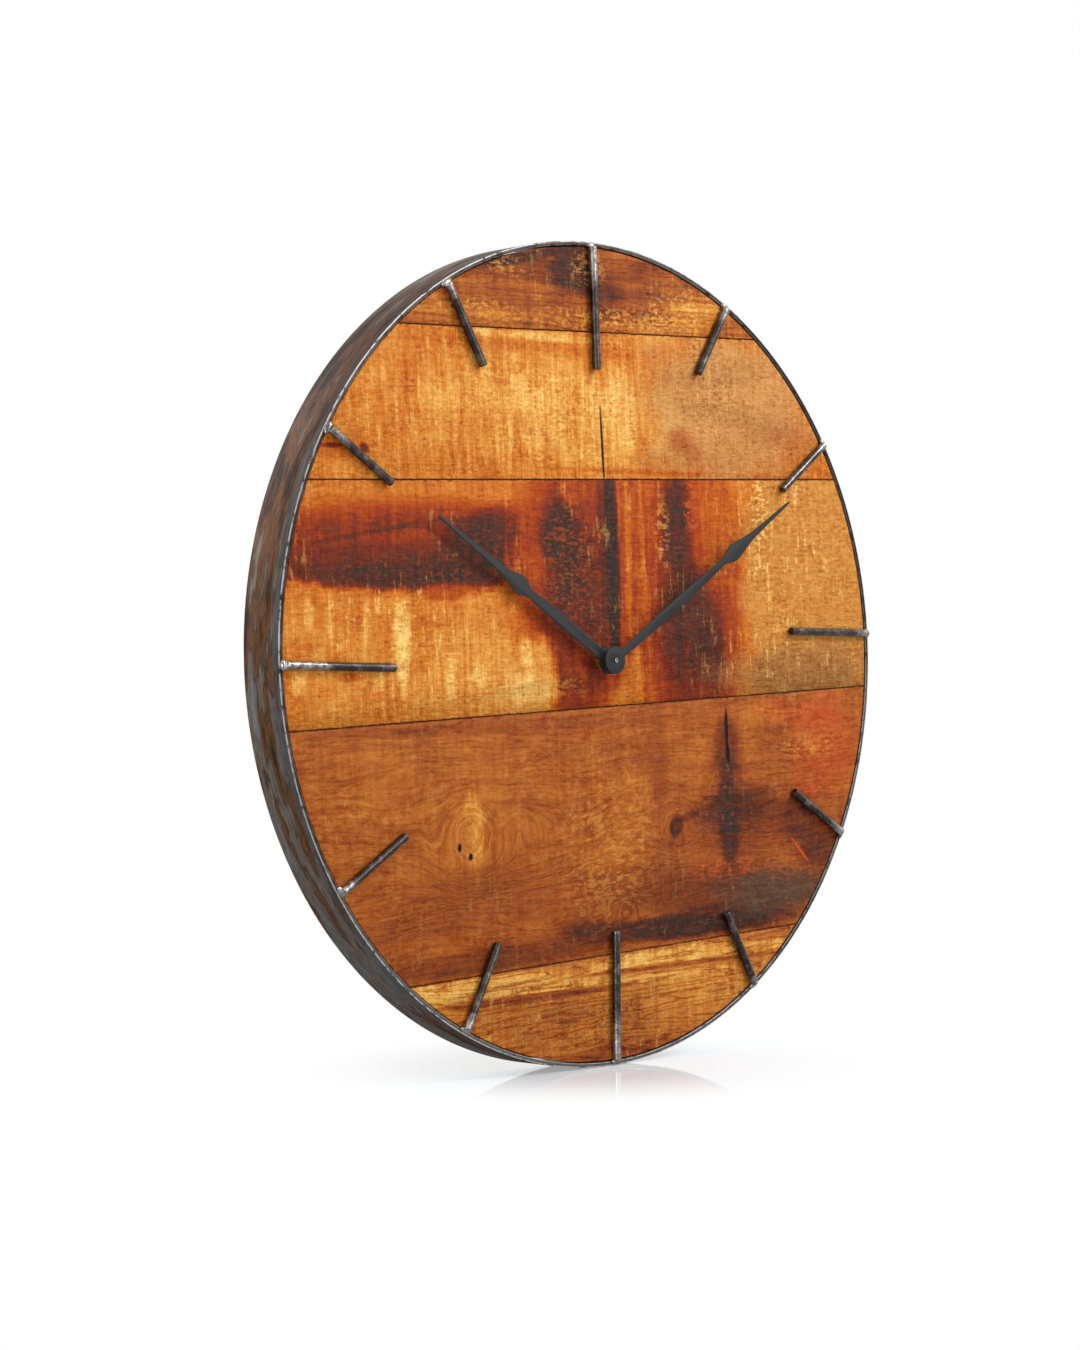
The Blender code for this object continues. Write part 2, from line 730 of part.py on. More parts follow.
def going_train(brass, steel, plastic):
    """The wheels between the rotor and the centre wheel."""
    rear = cover_front - layer_gap
    front = plate_front + gap
    pinion_phase = mesh_phase(0, centre_teeth, third_degrees, third_pinion_teeth)
    wheel("centre_wheel", centre_teeth, train_module, 0, centre_layer, minute_shaft_radius + gap, brass, hub)
    gears = (
        (third_teeth, third_module, 0, third_layer, third_layer + wheel_thickness),
        (third_pinion_teeth, train_module, pinion_phase, centre_layer, third_layer + layer_gap),
    )
    arbor_wheel("third_wheel", gears, front, rear, arbor_radius, plastic, third_place)

    pinion_phase = mesh_phase(0, third_teeth, third_degrees + 180, seconds_pinion_teeth)
    gears = (
        (seconds_teeth, seconds_module, 0, seconds_layer, seconds_layer + wheel_thickness),
        (seconds_pinion_teeth, third_module, pinion_phase, third_layer, seconds_layer + layer_gap),
    )
    seconds_front = -shaft_end_front + seconds_arbor_setback
    arbor_wheel("seconds_wheel", gears, seconds_front, rear, seconds_arbor_radius, steel, hub)

    pinion_phase = mesh_phase(0, seconds_teeth, intermediate_degrees, intermediate_pinion_teeth)
    pinion_back = intermediate_layer + layer_gap
    gears = (
        (intermediate_teeth, train_module, 0, intermediate_layer, intermediate_layer + wheel_thickness),
        (intermediate_pinion_teeth, seconds_module, pinion_phase, seconds_layer, pinion_back),
    )
    arbor_wheel("intermediate_wheel", gears, front, rear, arbor_radius, plastic, intermediate_place)

    phase = mesh_phase(0, intermediate_teeth, rotor_degrees, rotor_pinion_teeth)
    gears = ((rotor_pinion_teeth, train_module, phase, intermediate_layer, magnet_front + layer_gap),)
    rotor = arbor_wheel("rotor", gears, front, rear, arbor_radius, steel, rotor_place)
    size = (magnet_radius, magnet_front, magnet_back, magnet_sides)
    fuse(rotor, cylinder("rotor_magnet", *size, steel, rotor_place))


def stepper_motor(steel, copper):
    """The stator plate around the rotor, and the coil on its core behind the plate's arms."""
    ring = magnet_radius + magnet_air_gap
    bottom = rotor_place[1] - ring - stator_arm / 2
    window_bottom = rotor_place[1] + ring + stator_arm
    top = coil_height + coil_core_height
    inner = stator_half_width - stator_arm
    outline = [
        (-stator_half_width, bottom), (stator_half_width, bottom), (stator_half_width, top), (inner, top),
        (inner, window_bottom), (-inner, window_bottom), (-inner, top), (-stator_half_width, top),
    ]
    stator = prism("stator", outline, stator_front, stator_back, steel)
    through_hole(stator, ring, stator_front, stator_back, magnet_sides, rotor_place)

    core = coil_core_height / 2
    middle = Vector((0, depth_y(coil_depth), coil_height))
    stations = (
        (-stator_half_width, core), (-coil_half_length, core), (-coil_half_length, coil_radius),
        (coil_half_length, coil_radius), (coil_half_length, core), (stator_half_width, core),
    )
    rod("coil", middle, Vector((1, 0, 0)), Vector((0, 1, 0)), stations, coil_sides, copper)


def electronics(green, steel):
    """The circuit board at the right, and the crystal that lies in front of it."""
    bottom = bay_wall_top + plate_edge_room
    top = case_top - shell_wall - plate_edge_room
    outline = rectangle(board_left, board_right, bottom, top)
    prism("circuit_board", outline, stator_front, board_back, green)
    middle = Vector((board_middle, depth_y(stator_front - gap - crystal_radius), hub[1]))
    stations = ((-crystal_length / 2, crystal_radius), (crystal_length / 2, crystal_radius))
    rod("quartz_crystal", middle, Vector((0, 0, 1)), Vector((1, 0, 0)), stations, arbor_sides, steel)


def movement_housing(plastic):
    """The front shell: floor, walls, the wall over the battery bay, and two posts for the stator."""
    outline = rounded_rectangle(-case_half_width, case_half_width, case_bottom, case_top, case_corner)
    housing = prism("movement_housing", outline, case_front, skirt_front - gap, plastic)
    inner = case_half_width - shell_wall
    chamber = rectangle(-inner, inner, bay_wall_top, case_top - shell_wall)
    cut(housing, prism("wheel_chamber", chamber, case_floor, skirt_front + overrun, plastic))
    bay = rectangle(-inner, inner, case_bottom + shell_wall, bay_wall_bottom)
    cut(housing, prism("battery_bay", bay, case_floor, skirt_front + overrun, plastic))
    through_hole(housing, bushing_hole, case_front, case_floor, shaft_sides, hub)
    seat_radius = bushing_radius + bushing_flange + gap
    half_floor = case_floor - shell_wall / 2
    round_cut(housing, seat_radius, half_floor, case_floor + overrun, shaft_sides, hub)
    through_hole(housing, arbor_radius + gap, case_front, case_floor, arbor_sides, minute_wheel_place)
    through_hole(housing, knob_shaft_radius + gap, case_front, case_floor, arbor_sides, knob_place)
    post_x = stator_half_width - stator_arm / 2
    post_size = (post_radius, half_floor, stator_front - gap, arbor_sides)
    for index, x in enumerate((-post_x, post_x)):
        fuse(housing, cylinder(f"stator_post_{index}", *post_size, plastic, (x, coil_height)))


def middle_plate(plastic):
    """The plate between the motion work and the going train, with a hole for each pivot."""
    top = rotor_place[1] + magnet_radius
    outline = rectangle(-middle_plate_half_width, middle_plate_half_width, bay_wall_top + gap, top)
    plate = prism("middle_plate", outline, plate_front, plate_back, plastic)
    holes = [(minute_shaft_radius, hub), (arbor_radius, minute_wheel_place), (knob_shaft_radius, knob_place)]
    holes += [(arbor_radius, place) for place in wheel_pivots]
    for radius, place in holes:
        through_hole(plate, radius + gap, plate_front, plate_back, arbor_sides, place)


def rear_cover(plastic):
    """The cover over the wheels, with a socket for each rear pivot; the battery bay stays open."""
    outline = rectangle(-case_half_width, case_half_width, bay_wall_bottom, case_top)
    cover = prism("rear_cover", outline, skirt_front, cover_back, plastic)
    inner = case_half_width - shell_wall
    chamber = rectangle(-inner, inner, bay_wall_top, case_top - shell_wall)
    cut(cover, prism("cover_chamber", chamber, skirt_front - overrun, cover_front, plastic))
    bore = arbor_radius + gap
    socket_front = cover_front - shell_wall
    half_wall = cover_front + shell_wall / 2
    boss_size = (bore + shell_wall / 2, socket_front, half_wall, arbor_sides)
    for index, place in enumerate((hub,) + wheel_pivots):
        fuse(cover, cylinder(f"socket_boss_{index}", *boss_size, plastic, place))
        round_cut(cover, bore, socket_front - overrun, cover_front, arbor_sides, place)
    post_size = (post_radius, board_back + gap, half_wall, arbor_sides)
    post_inset = 2 * post_radius + plate_edge_room
    for index, z in enumerate((bay_wall_top + post_inset, case_top - shell_wall - post_inset)):
        fuse(cover, cylinder(f"board_post_{index}", *post_size, plastic, (board_middle, z)))
    through_hole(cover, knob_shaft_radius + gap, cover_front, cover_back, shaft_sides, knob_place)


def battery(wrap):
    """The cell that lies across the bay; its plus end is at the right."""
    half = battery_length / 2
    shoulder = half - battery_nub_length
    bevel = battery_nub_length / 2
    stations = (
        (-half, battery_radius - bevel), (bevel - half, battery_radius),
        (shoulder - bevel, battery_radius), (shoulder, battery_radius - bevel),
        (shoulder, battery_nub_radius), (half, battery_nub_radius),
    )
    middle = Vector((0, depth_y(battery_depth), battery_height))
    rod("battery", middle, Vector((1, 0, 0)), Vector((0, 1, 0)), stations, battery_sides, wrap)


def battery_contacts(steel):
    """A strip at each end of the cell: one with a dimple for its plus end, one bent to a spring."""
    bay_end = case_half_width - shell_wall - gap
    cell_end = battery_length / 2 + gap
    bottom = battery_height - contact_half_width
    top = battery_height + contact_half_width
    front = case_floor + gap
    back = battery_depth + contact_half_width
    plus = rectangle(bay_end - contact_thickness, bay_end, bottom, top)
    contact = prism("battery_contact_plus", plus, front, back, steel)
    root = bay_end - contact_thickness / 2
    dimple = [
        (root, battery_height - battery_nub_radius), (root, battery_height + battery_nub_radius),
        (cell_end, battery_height),
    ]
    dimple_front = battery_depth - battery_nub_radius
    fuse(contact, prism("plus_dimple", dimple, dimple_front, battery_depth + battery_nub_radius, steel))

    spring_outer = -cell_end - contact_thickness
    minus = [
        (-bay_end, bottom), (-bay_end + contact_thickness, bottom),
        (-bay_end + contact_thickness, battery_height), (spring_outer, top - contact_thickness),
        (-cell_end, top - contact_thickness), (-cell_end, top), (spring_outer, top),
        (-bay_end, battery_height + contact_thickness),
    ]
    prism("battery_contact_minus", minus, front, back, steel)


def bushing_and_nut(brass, rubber):
    """The threaded bushing with its flange, and what clamps the movement to the wood."""
    flange_radius = bushing_radius + bushing_flange
    flange_front = case_floor - shell_wall / 2 + gap
    flange_back = case_floor + layer_gap - gap
    profile = [
        (bushing_bore, bushing_front), (bushing_radius, bushing_front), (bushing_radius, flange_front),
        (flange_radius, flange_front), (flange_radius, flange_back), (bushing_bore, flange_back),
    ]
    turned("threaded_bushing", profile, shaft_sides, brass, hub)
    pipe("rubber_washer", bushing_hole, rubber_radius, rubber_front, rubber_back, rubber)
    pipe("brass_washer", bushing_hole, washer_radius, washer_front, washer_back, brass)
    corner = nut_half_flats / math.cos(math.pi / nut_sides)
    outline = [step((0, 0), corner, 360 * number / nut_sides) for number in range(nut_sides)]
    nut = prism("hex_nut", outline, nut_front, nut_back, brass, hub)
    through_hole(nut, bushing_hole, nut_front, nut_back, shaft_sides, hub)


def build():
    """Make every piece."""
    for old in list(bpy.data.objects):
        bpy.data.objects.remove(old, do_unlink=True)
    teak = material("oiled_teak", (0.50, 0.20, 0.045), 0.5, 0)
    plywood = material("plywood", (0.48, 0.33, 0.18), 0.7, 0)
    rusty_steel = material("rusted_steel", (0.11, 0.085, 0.07), 0.6, 0.8)
    black_steel = material("blackened_steel", (0.055, 0.045, 0.04), 0.45, 0.8)
    black_paint = material("black_paint", (0.045, 0.055, 0.06), 0.5, 0)
    zinc = material("zinc_plated_steel", (0.50, 0.50, 0.48), 0.35, 1)
    brass = material("brass", (0.70, 0.50, 0.22), 0.3, 1)
    copper = material("enamelled_copper", (0.60, 0.22, 0.10), 0.35, 1)
    plastic = material("black_plastic", (0.02, 0.02, 0.022), 0.45, 0)
    wheel_plastic = material("white_acetal", (0.75, 0.74, 0.70), 0.45, 0)
    rubber = material("black_rubber", (0.015, 0.015, 0.015), 0.8, 0)
    green = material("circuit_laminate", (0.03, 0.20, 0.08), 0.5, 0)
    wrap = material("battery_wrap", (0.03, 0.06, 0.12), 0.4, 0)

    hoop(rusty_steel)
    for hour in range(1, len(bar_rim_degrees) + 1):
        hour_bar(hour, black_steel)
    planks(teak)
    backer_board(plywood)
    for number, place in enumerate(screw_places(), 1):
        fixing_tab(number, place, black_steel)
        tab_screw(number, place, zinc)
    wall_hanger(black_steel)
    hour_shape = (hour_hand_length, hour_head_half_width, hour_outline_shares, hour_hand_degrees)
    hand("hour_hand", hand_outline(*hour_shape), -hour_hand_front, hour_tube_radius, black_paint)
    minute_shape = (minute_hand_length, minute_head_half_width, minute_outline_shares, minute_hand_degrees)
    hand("minute_hand", hand_outline(*minute_shape), -minute_hand_front, minute_shaft_radius, black_paint)
    motion_work(brass, zinc, wheel_plastic)
    setting_knob(wheel_plastic)
    going_train(brass, zinc, wheel_plastic)
    stepper_motor(zinc, copper)
    electronics(green, zinc)
    movement_housing(plastic)
    middle_plate(wheel_plastic)
    rear_cover(plastic)
    battery(wrap)
    battery_contacts(zinc)
    bushing_and_nut(brass, rubber)


build()
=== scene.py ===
# %% [markdown]
# # A teak wood clock, dressed for its picture
# The clock is five reclaimed planks in a hoop of flat steel, with twelve round bars for the hours and
# two black hands. Its measured model already exists, piece by piece. This lesson keeps that model as a
# fixed frame, gives every piece the finish of the real one, and replaces the pieces whose soft edges,
# welds or wear need more shape than a measured model carries.

import json
import math
from functools import partial

import bmesh
import bpy
import numpy as np
from mathutils import Matrix, Vector

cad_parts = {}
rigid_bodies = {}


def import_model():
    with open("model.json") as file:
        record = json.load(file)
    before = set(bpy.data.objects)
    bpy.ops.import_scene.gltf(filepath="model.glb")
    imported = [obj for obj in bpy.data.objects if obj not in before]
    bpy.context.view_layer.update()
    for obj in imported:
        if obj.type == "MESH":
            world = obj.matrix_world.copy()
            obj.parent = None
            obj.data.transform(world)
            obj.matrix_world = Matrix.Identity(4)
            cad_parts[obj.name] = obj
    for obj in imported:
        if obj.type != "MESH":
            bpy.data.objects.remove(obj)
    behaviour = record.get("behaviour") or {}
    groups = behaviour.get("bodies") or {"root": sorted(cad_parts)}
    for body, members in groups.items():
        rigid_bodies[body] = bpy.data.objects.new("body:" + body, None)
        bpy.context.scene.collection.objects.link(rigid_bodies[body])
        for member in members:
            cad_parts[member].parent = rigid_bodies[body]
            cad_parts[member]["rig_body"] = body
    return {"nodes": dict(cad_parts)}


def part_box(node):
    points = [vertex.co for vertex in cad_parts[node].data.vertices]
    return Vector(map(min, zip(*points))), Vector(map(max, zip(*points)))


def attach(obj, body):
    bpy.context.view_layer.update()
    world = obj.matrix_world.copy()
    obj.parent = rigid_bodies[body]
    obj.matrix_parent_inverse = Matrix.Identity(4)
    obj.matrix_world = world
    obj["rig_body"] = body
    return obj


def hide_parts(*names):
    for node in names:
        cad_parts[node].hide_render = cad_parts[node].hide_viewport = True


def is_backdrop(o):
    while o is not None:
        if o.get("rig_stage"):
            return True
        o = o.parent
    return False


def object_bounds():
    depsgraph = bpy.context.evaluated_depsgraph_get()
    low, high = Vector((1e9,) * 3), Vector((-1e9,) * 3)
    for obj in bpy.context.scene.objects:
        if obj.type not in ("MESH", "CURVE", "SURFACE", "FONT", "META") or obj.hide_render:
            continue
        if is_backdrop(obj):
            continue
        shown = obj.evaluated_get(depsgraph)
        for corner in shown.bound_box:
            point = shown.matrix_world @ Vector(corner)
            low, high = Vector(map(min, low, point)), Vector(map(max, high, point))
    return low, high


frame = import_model()
frame_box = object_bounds()
nodes = frame["nodes"]
front_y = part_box("hoop")[0].y
print(f"{len(nodes)} pieces; the hoop's front edge is at y = {front_y * 1000:.2f} mm")

# %% [markdown]
# ## Colours and nodes
# A colour is written as the hex value that an artist would pick on the screen. Blender computes in
# linear light, so one function converts it. One small function adds a node, sets it and links it, which
# keeps each material as short as a recipe. A node's kind is the end of its type's name, and a second
# word is its main setting. Its inputs come as a list in the order of the node's own sockets, or by name.
# A value can be a number, a hex colour, a socket, or another node, whose first output is then used.

# %% Colours
def colour(code):
    """An sRGB hex colour as linear red, green, blue and alpha."""
    shades = [int(code[start:start + 2], 16) / 255 for start in (1, 3, 5)]
    linear = [s / 12.92 if s <= 0.04045 else ((s + 0.055) / 1.055) ** 2.4 for s in shades]
    return (*linear, 1.0)


print("mid grey #808080 is", round(colour("#808080")[0], 3), "in linear light")

# %% Nodes
families = ("ShaderNode", "GeometryNode", "FunctionNode", "")
main_setting = {"Math": "operation", "VectorMath": "operation", "MapRange": "interpolation_type",
                "Mapping": "vector_type", "Mix": "data_type", "RandomValue": "data_type"}


def feed(tree, node, inputs):
    """Gives a node's inputs their links and values."""
    sockets = [s for s in node.inputs if s.enabled]
    if isinstance(inputs, dict):
        sockets = [next(s for s in sockets if s.name == name) for name in inputs]
        inputs = inputs.values()
    for socket, value in zip(sockets, inputs):
        if isinstance(value, bpy.types.Node):
            value = next(s for s in value.outputs if s.enabled)
        if isinstance(value, bpy.types.NodeSocket):
            tree.links.new(value, socket)
        else:
            socket.default_value = colour(value) if isinstance(value, str) else value


def add(tree, kind, inputs=(), stops=(), **settings):
    """Adds a node with its settings, its inputs and, for a ramp, its (position, value) stops."""
    kind, _, setting = kind.partition(" ")
    family = next(f for f in families if hasattr(bpy.types, f + kind))
    node = tree.nodes.new(family + kind)
    if setting:
        settings = {main_setting[kind]: setting, **settings}
    for name, value in settings.items():
        setattr(node, name, value)
    feed(tree, node, inputs)
    for index, (position, value) in enumerate(stops):
        elements = node.color_ramp.elements
        element = elements[index] if index < len(elements) else elements.new(position)
        element.position = position
        element.color = colour(value) if isinstance(value, str) else (value, value, value, 1)
    return node


print("kinds with a main setting:", ", ".join(main_setting))

# %% [markdown]
# ## How a finish starts
# Every recipe needs the same four things: the new material, a way to add nodes to it, a way to feed its
# Principled shader, and the piece's own coordinates in millimetres. Nearly every surface is then drawn
# with noise of the real size of its grain, lines or patches, so one table per material lists them.

# %% Finishes and patterns
def new_finish(name):
    """A new material, what adds nodes to it, what feeds its shader, and its coordinates in mm."""
    finish = bpy.data.materials.new(name)
    finish.use_nodes = True
    tree = finish.node_tree
    tree.nodes.clear()
    shader = add(tree, "BsdfPrincipled")
    add(tree, "OutputMaterial", {"Surface": shader})
    place = add(tree, "TexCoord").outputs["Object"]
    place_mm = add(tree, "VectorMath SCALE", [place, 1000.0])
    return finish, partial(add, tree), partial(feed, tree, shader), place_mm


def patterns(node, place, sizes):
    """Noise patterns from name: (size in mm along x, y and z, detail, roughness)."""
    made = {}
    for name, (size, detail, roughness) in sizes.items():
        squeezed = node("Mapping", {"Vector": place, "Scale": [1 / mm for mm in size]})
        inputs = {"Vector": squeezed, "Scale": 1.0, "Detail": detail, "Roughness": roughness}
        made[name] = node("TexNoise", inputs)
    return made


print("a finish starts with", len(new_finish("trial")[0].node_tree.nodes), "nodes")
bpy.data.materials.remove(bpy.data.materials["trial"])

# %% [markdown]
# ## Camera
# The photograph was taken from the left of the clock, at the height of its middle. The camera's place
# comes from a fit to the twelve bars and the hoop. Its lens is written for a picture that is 1350
# pixels high: a focal length of 2871 pixels there is 76.6 mm on a 36 mm sensor.

# %% Camera
picture_height = 1350
focal_pixels = 2871
camera_place = Vector((-1.47679, -1.49552, 0.00996))
camera_forward = Vector((0.689615, 0.724087, -0.011357)).normalized()
camera_up = Vector((0.034404, -0.017093, 0.999262))

camera_data = bpy.data.cameras.new("camera")
camera_data.sensor_fit = "VERTICAL"
camera_data.sensor_height = 36
camera_data.lens = 36 * focal_pixels / picture_height
camera = bpy.data.objects.new("camera", camera_data)
bpy.context.scene.collection.objects.link(camera)
camera_right = camera_forward.cross(camera_up).normalized()
axes = Matrix((camera_right, camera_right.cross(camera_forward), -camera_forward)).transposed()
camera.matrix_world = Matrix.Translation(camera_place) @ axes.to_4x4()
bpy.context.scene.camera = camera
print(f"lens {camera_data.lens:.2f} mm, {camera_place.length:.2f} m from the clock's middle")

# %% [markdown]
# ## Stage and light
# The clock stands on its rim on a white glossy table in soft studio light. The table is white because
# its own colour and a little glow towards the camera say so, and the shadow still shows on it. The gloss
# is strongest at the rim and fades towards the front, as a lightly polished sheet does. One large lamp
# at the upper right gives the soft shadows to the lower left of the hands, with a narrow upright one
# beside it. A weaker one at the left draws the light along the hoop's side, one behind lights the rear,
# and the white room fills the rest.

# %% Floor mesh
def mesh_piece(name, mesh, finish=None):
    """An object at the origin that carries this mesh."""
    piece = bpy.data.objects.new(name, mesh)
    bpy.context.scene.collection.objects.link(piece)
    if finish:
        mesh.materials.clear()
        mesh.materials.append(finish)
    return piece


hoop_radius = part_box("hoop")[1].x
# The photographed clock is turned by this much about its own axis
roll = math.radians(1.972)
clearance = 0.0003
level = Matrix.Rotation(roll, 4, "Y") @ Matrix.Translation((0, 0, -hoop_radius - clearance))
corners = [level @ Vector((x, y, 0)) for x, y in ((-6, -6), (6, -6), (6, 6), (-6, 6))]
floor_mesh = bpy.data.meshes.new("floor")
floor_mesh.from_pydata(corners, [], [(0, 1, 2, 3)])
print(f"floor lies {hoop_radius * 1000:.0f} mm under the hoop's centre")

# %% Floor finish
floor_finish, node, coat, place_mm = new_finish("white_gloss_table")
coat({"Base Color": "#bcc1c8", "Roughness": 0.9})
tree = floor_finish.node_tree
matt, output = tree.nodes["Principled BSDF"], tree.nodes["Material Output"]
glow = node("Emission", {"Color": "#ffffff", "Strength": 0.46})
lit = node("AddShader", [matt, glow])
mirror = node("BsdfAnisotropic", {"Color": "#ffffff", "Roughness": 0.03})
# How far a place is from the point where the hoop stands
foot = node("VectorMath DISTANCE", [place_mm, (-10.3, 7.0, -300.0)])
fade = node("MapRange SMOOTHSTEP", [foot, 0.0, 1100.0, 0.32, 0.0])
polished = node("MixShader", [fade, lit, mirror])
paper = node("Emission", {"Color": "#ffffff", "Strength": 1.0})
far = node("MapRange SMOOTHSTEP", [foot, 60.0, 220.0])
plain = node("MixShader", [far, polished, paper])
seen = node("LightPath")
shown = node("MixShader", [seen.outputs["Is Camera Ray"], matt, plain])
feed(tree, output, {"Surface": shown})
mesh_piece("floor", floor_mesh, floor_finish)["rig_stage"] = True
print("the floor is white beyond 0.22 m from the clock's foot")

# %% Room
world = bpy.data.worlds.new("studio")
world.use_nodes = True
bpy.context.scene.world = world
world.node_tree.nodes.clear()
node = partial(add, world.node_tree)
seen = node("LightPath")
room = node("Background", {"Color": "#f8f7f6", "Strength": 0.46})
white = node("Background", {"Color": "#ffffff", "Strength": 1.0})
direct = node("Math MAXIMUM", [seen.outputs["Is Camera Ray"], seen.outputs["Is Transmission Ray"]])
direct = node("Math MAXIMUM", [direct, seen.outputs["Is Glossy Ray"]])
node("OutputWorld", {"Surface": node("MixShader", [direct, room, white])})
bpy.context.scene.view_settings.view_transform = "Standard"
print("the room is white, and lights the clock at", room.inputs["Strength"].default_value)

# %% Lamps
def lamp(name, place, width, height, power):
    """A soft lamp that faces the clock's middle."""
    data = bpy.data.lights.new(name, "AREA")
    data.shape = "RECTANGLE"
    data.size = width
    data.size_y = height
    data.energy = power
    thing = bpy.data.objects.new(name, data)
    thing.location = place
    thing.rotation_euler = Vector(place).to_track_quat("Z", "Y").to_euler()
    bpy.context.scene.collection.objects.link(thing)


lamp("key_lamp", (1.5, -2.1, 1.9), 0.9, 0.9, 56)
lamp("strip_lamp", (0.62, -2.1, 0.5), 0.35, 1.6, 11)
lamp("side_lamp", (-2.3, -0.9, 0.02), 1.4, 0.55, 19)
lamp("rear_lamp", (-0.8, 2.4, 1.4), 1.8, 1.8, 18)

# %% [markdown]
# ## Eased copies of measured pieces
# A sawn board, a sheet or a moulded shell never has a perfectly sharp edge: a fine line along it
# catches the light. A copy of the measured piece is merged, its flat faces are joined again, and a
# Bevel rounds only the real edges. The copy rides on the same body and stands for the measured piece.

# %% Easing edges
def settle(piece, body, slot, *stands_for, crease=35, finish=None):
    """Turns a piece and its modifiers into a plain smooth mesh that rides on a body."""
    mesh = bpy.data.meshes.new_from_object(piece.evaluated_get(bpy.context.evaluated_depsgraph_get()))
    piece.modifiers.clear()
    piece.data = mesh
    mesh.shade_smooth()
    mesh.set_sharp_from_angle(angle=math.radians(crease))
    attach(piece, body)
    if stands_for:
        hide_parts(*stands_for)
    if finish:
        mesh.materials.clear()
        mesh.materials.append(finish)


def eased(measured, width_mm, finish, slot):
    """A copy of a measured piece with rounded edges, which stands for it."""
    bm = bmesh.new()
    bm.from_mesh(nodes[measured].data)
    bmesh.ops.remove_doubles(bm, verts=bm.verts, dist=1e-6)
    bmesh.ops.dissolve_limit(bm, angle_limit=math.radians(0.4), verts=bm.verts, edges=bm.edges)
    mesh = bpy.data.meshes.new(f"{measured}_dressed")
    bm.to_mesh(mesh)
    bm.free()
    piece = mesh_piece(f"{measured}_dressed", mesh, finish)
    rounding = piece.modifiers.new("eased", "BEVEL")
    rounding.width = width_mm / 1000
    rounding.segments = 2
    rounding.limit_method = "ANGLE"
    rounding.angle_limit = math.radians(32)
    rounding.use_clamp_overlap = True
    settle(piece, nodes[measured]["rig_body"], slot, measured)


print("boards, sheets and shells can be eased now")

# %% [markdown]
# ## Teak
# The face is reclaimed teak: heartwood of many ages, cut by a worn band saw, scorched and stained in its
# first life, then oiled. Scorched teak passes through a fixed row of tones, from straw over orange and
# oxblood to coal. So the colour of a place is one number, its depth in that row: each mark pulls the
# number towards its own tone, grain and saw marks disturb it, and one ramp turns it into colour. That is
# why every dark stain here gets its orange fringe without being told.
# A painted picture of the boards would be easier, but it could neither be moved to another plank nor
# looked at closely. Here every tone is a rule.

# %% Tones of old teak
tone_depths = {"straw": 0.0, "gold": 0.14, "honey": 0.28, "amber": 0.42, "rust": 0.54, "russet": 0.66,
               "oxblood": 0.77, "char": 0.88, "coal": 1.0}
scorched_tones = ("#eeb964", "#de9740", "#cd7626", "#bd5c12", "#a7400d", "#842d10", "#602615", "#45281c",
                  "#2e211c")
oiled_tones = ("#e6ac54", "#d08632", "#b96a26", "#a5541c", "#8f4319", "#763516", "#582818", "#41291e",
               "#30231f")
# Tones beside that row, which lie over it
stains = {"straw": "#efb95f", "honey": "#cf8732", "tan": "#c58238", "sand": "#c48c50", "ember": "#a9521c",
          "dusk": "#9c6430", "flame": "#c24d1d", "slate": "#54402f", "umber": "#642a10", "rust": "#a84414"}
# So large a half size in mm that depth doesn't count
any_depth = 1e5


def reach_of(node, place, x, z, half_width, half_height, turn=0):
    """How far a place is from the middle of an oval, which is 1 on its outline, at any depth."""
    centred = {"Vector": place, "Location": (x, 0, z), "Rotation": (0, math.radians(turn), 0),
               "Scale": (half_width, any_depth, half_height)}
    return node("VectorMath LENGTH", [node("Mapping TEXTURE", centred)])


def oval(node, place, mark, fray):
    """How strongly one soft oval mark covers a place, from 0 to 1."""
    *shape, strength, softness, ragged = mark
    reach = node("Math MULTIPLY_ADD", [fray, ragged, reach_of(node, place, *shape)])
    return node("MapRange SMOOTHSTEP", [reach, 1 - softness, 1 + softness, strength, 0.0])

print(len(tone_depths), "tones in the row and", len(stains), "beside it")

# %% [markdown]
# ## How the boards are patterned
# Each pattern below is a noise with the size of the real thing in mm along, through and across the
# board: slow bands of growth, fibres, short ticks where fibres tore, grit, streaks and columns that the
# saw left across the board, and two slow patterns that vary all of them. Real fibres are a fifth of a
# millimetre wide, which no picture of a whole clock shows, so they are drawn at 2.3 mm.
# Around a knot the height on the board is replaced by the distance from the knot, so that the growth
# bands close into rings.

# %% Patterns of a board
grain_patterns = {
    "bands": ((210, 20, 7.0), 7, 0.68), "flow": ((240, 40, 13), 2, 0.4), "fibre": ((15, 6, 2.3), 2, 0.6),
    "ticks": ((5.4, 6, 2.5), 2, 0.6),
}
saw_patterns = {
    "grit": ((3.2, 6, 2.8), 2, 0.7), "rungs": ((4.5, 6, 1.9), 1, 0.5), "streaks": ((5.0, 20, 60), 5, 0.68),
    "columns": ((5.0, 20, 26), 5, 0.66), "mottle": ((30, 40, 22), 6, 0.7), "patch": ((46, 60, 38), 3, 0.6),
}


def board_patterns(node, place, seed, knots, wander):
    """The patterns of one board, with the grain bent around its knots."""
    shift = (seed * 311.0, seed * 17.0, seed * 173.0)
    own = node("VectorMath ADD", [place, shift])
    lift = patterns(node, own, {"lift": ((150, 60, 60), 2, 0.5)})["lift"]
    split = node("SeparateXYZ", [own])
    height = node("Math MULTIPLY_ADD", [lift, wander, split.outputs["Z"]])
    for x, z, half_width, half_height, closed in knots:
        reach = reach_of(node, place, x, z, half_width, half_height)
        ring = node("Math MULTIPLY_ADD", [reach, half_height, z + shift[2]])
        near = node("MapRange SMOOTHSTEP", [reach, 0.5, 1.9, closed, 0.0])
        height = node("Mix", [near, height, ring])
    bent = node("CombineXYZ", [split.outputs["X"], split.outputs["Y"], height])
    return own, patterns(node, bent, grain_patterns) | patterns(node, own, saw_patterns)


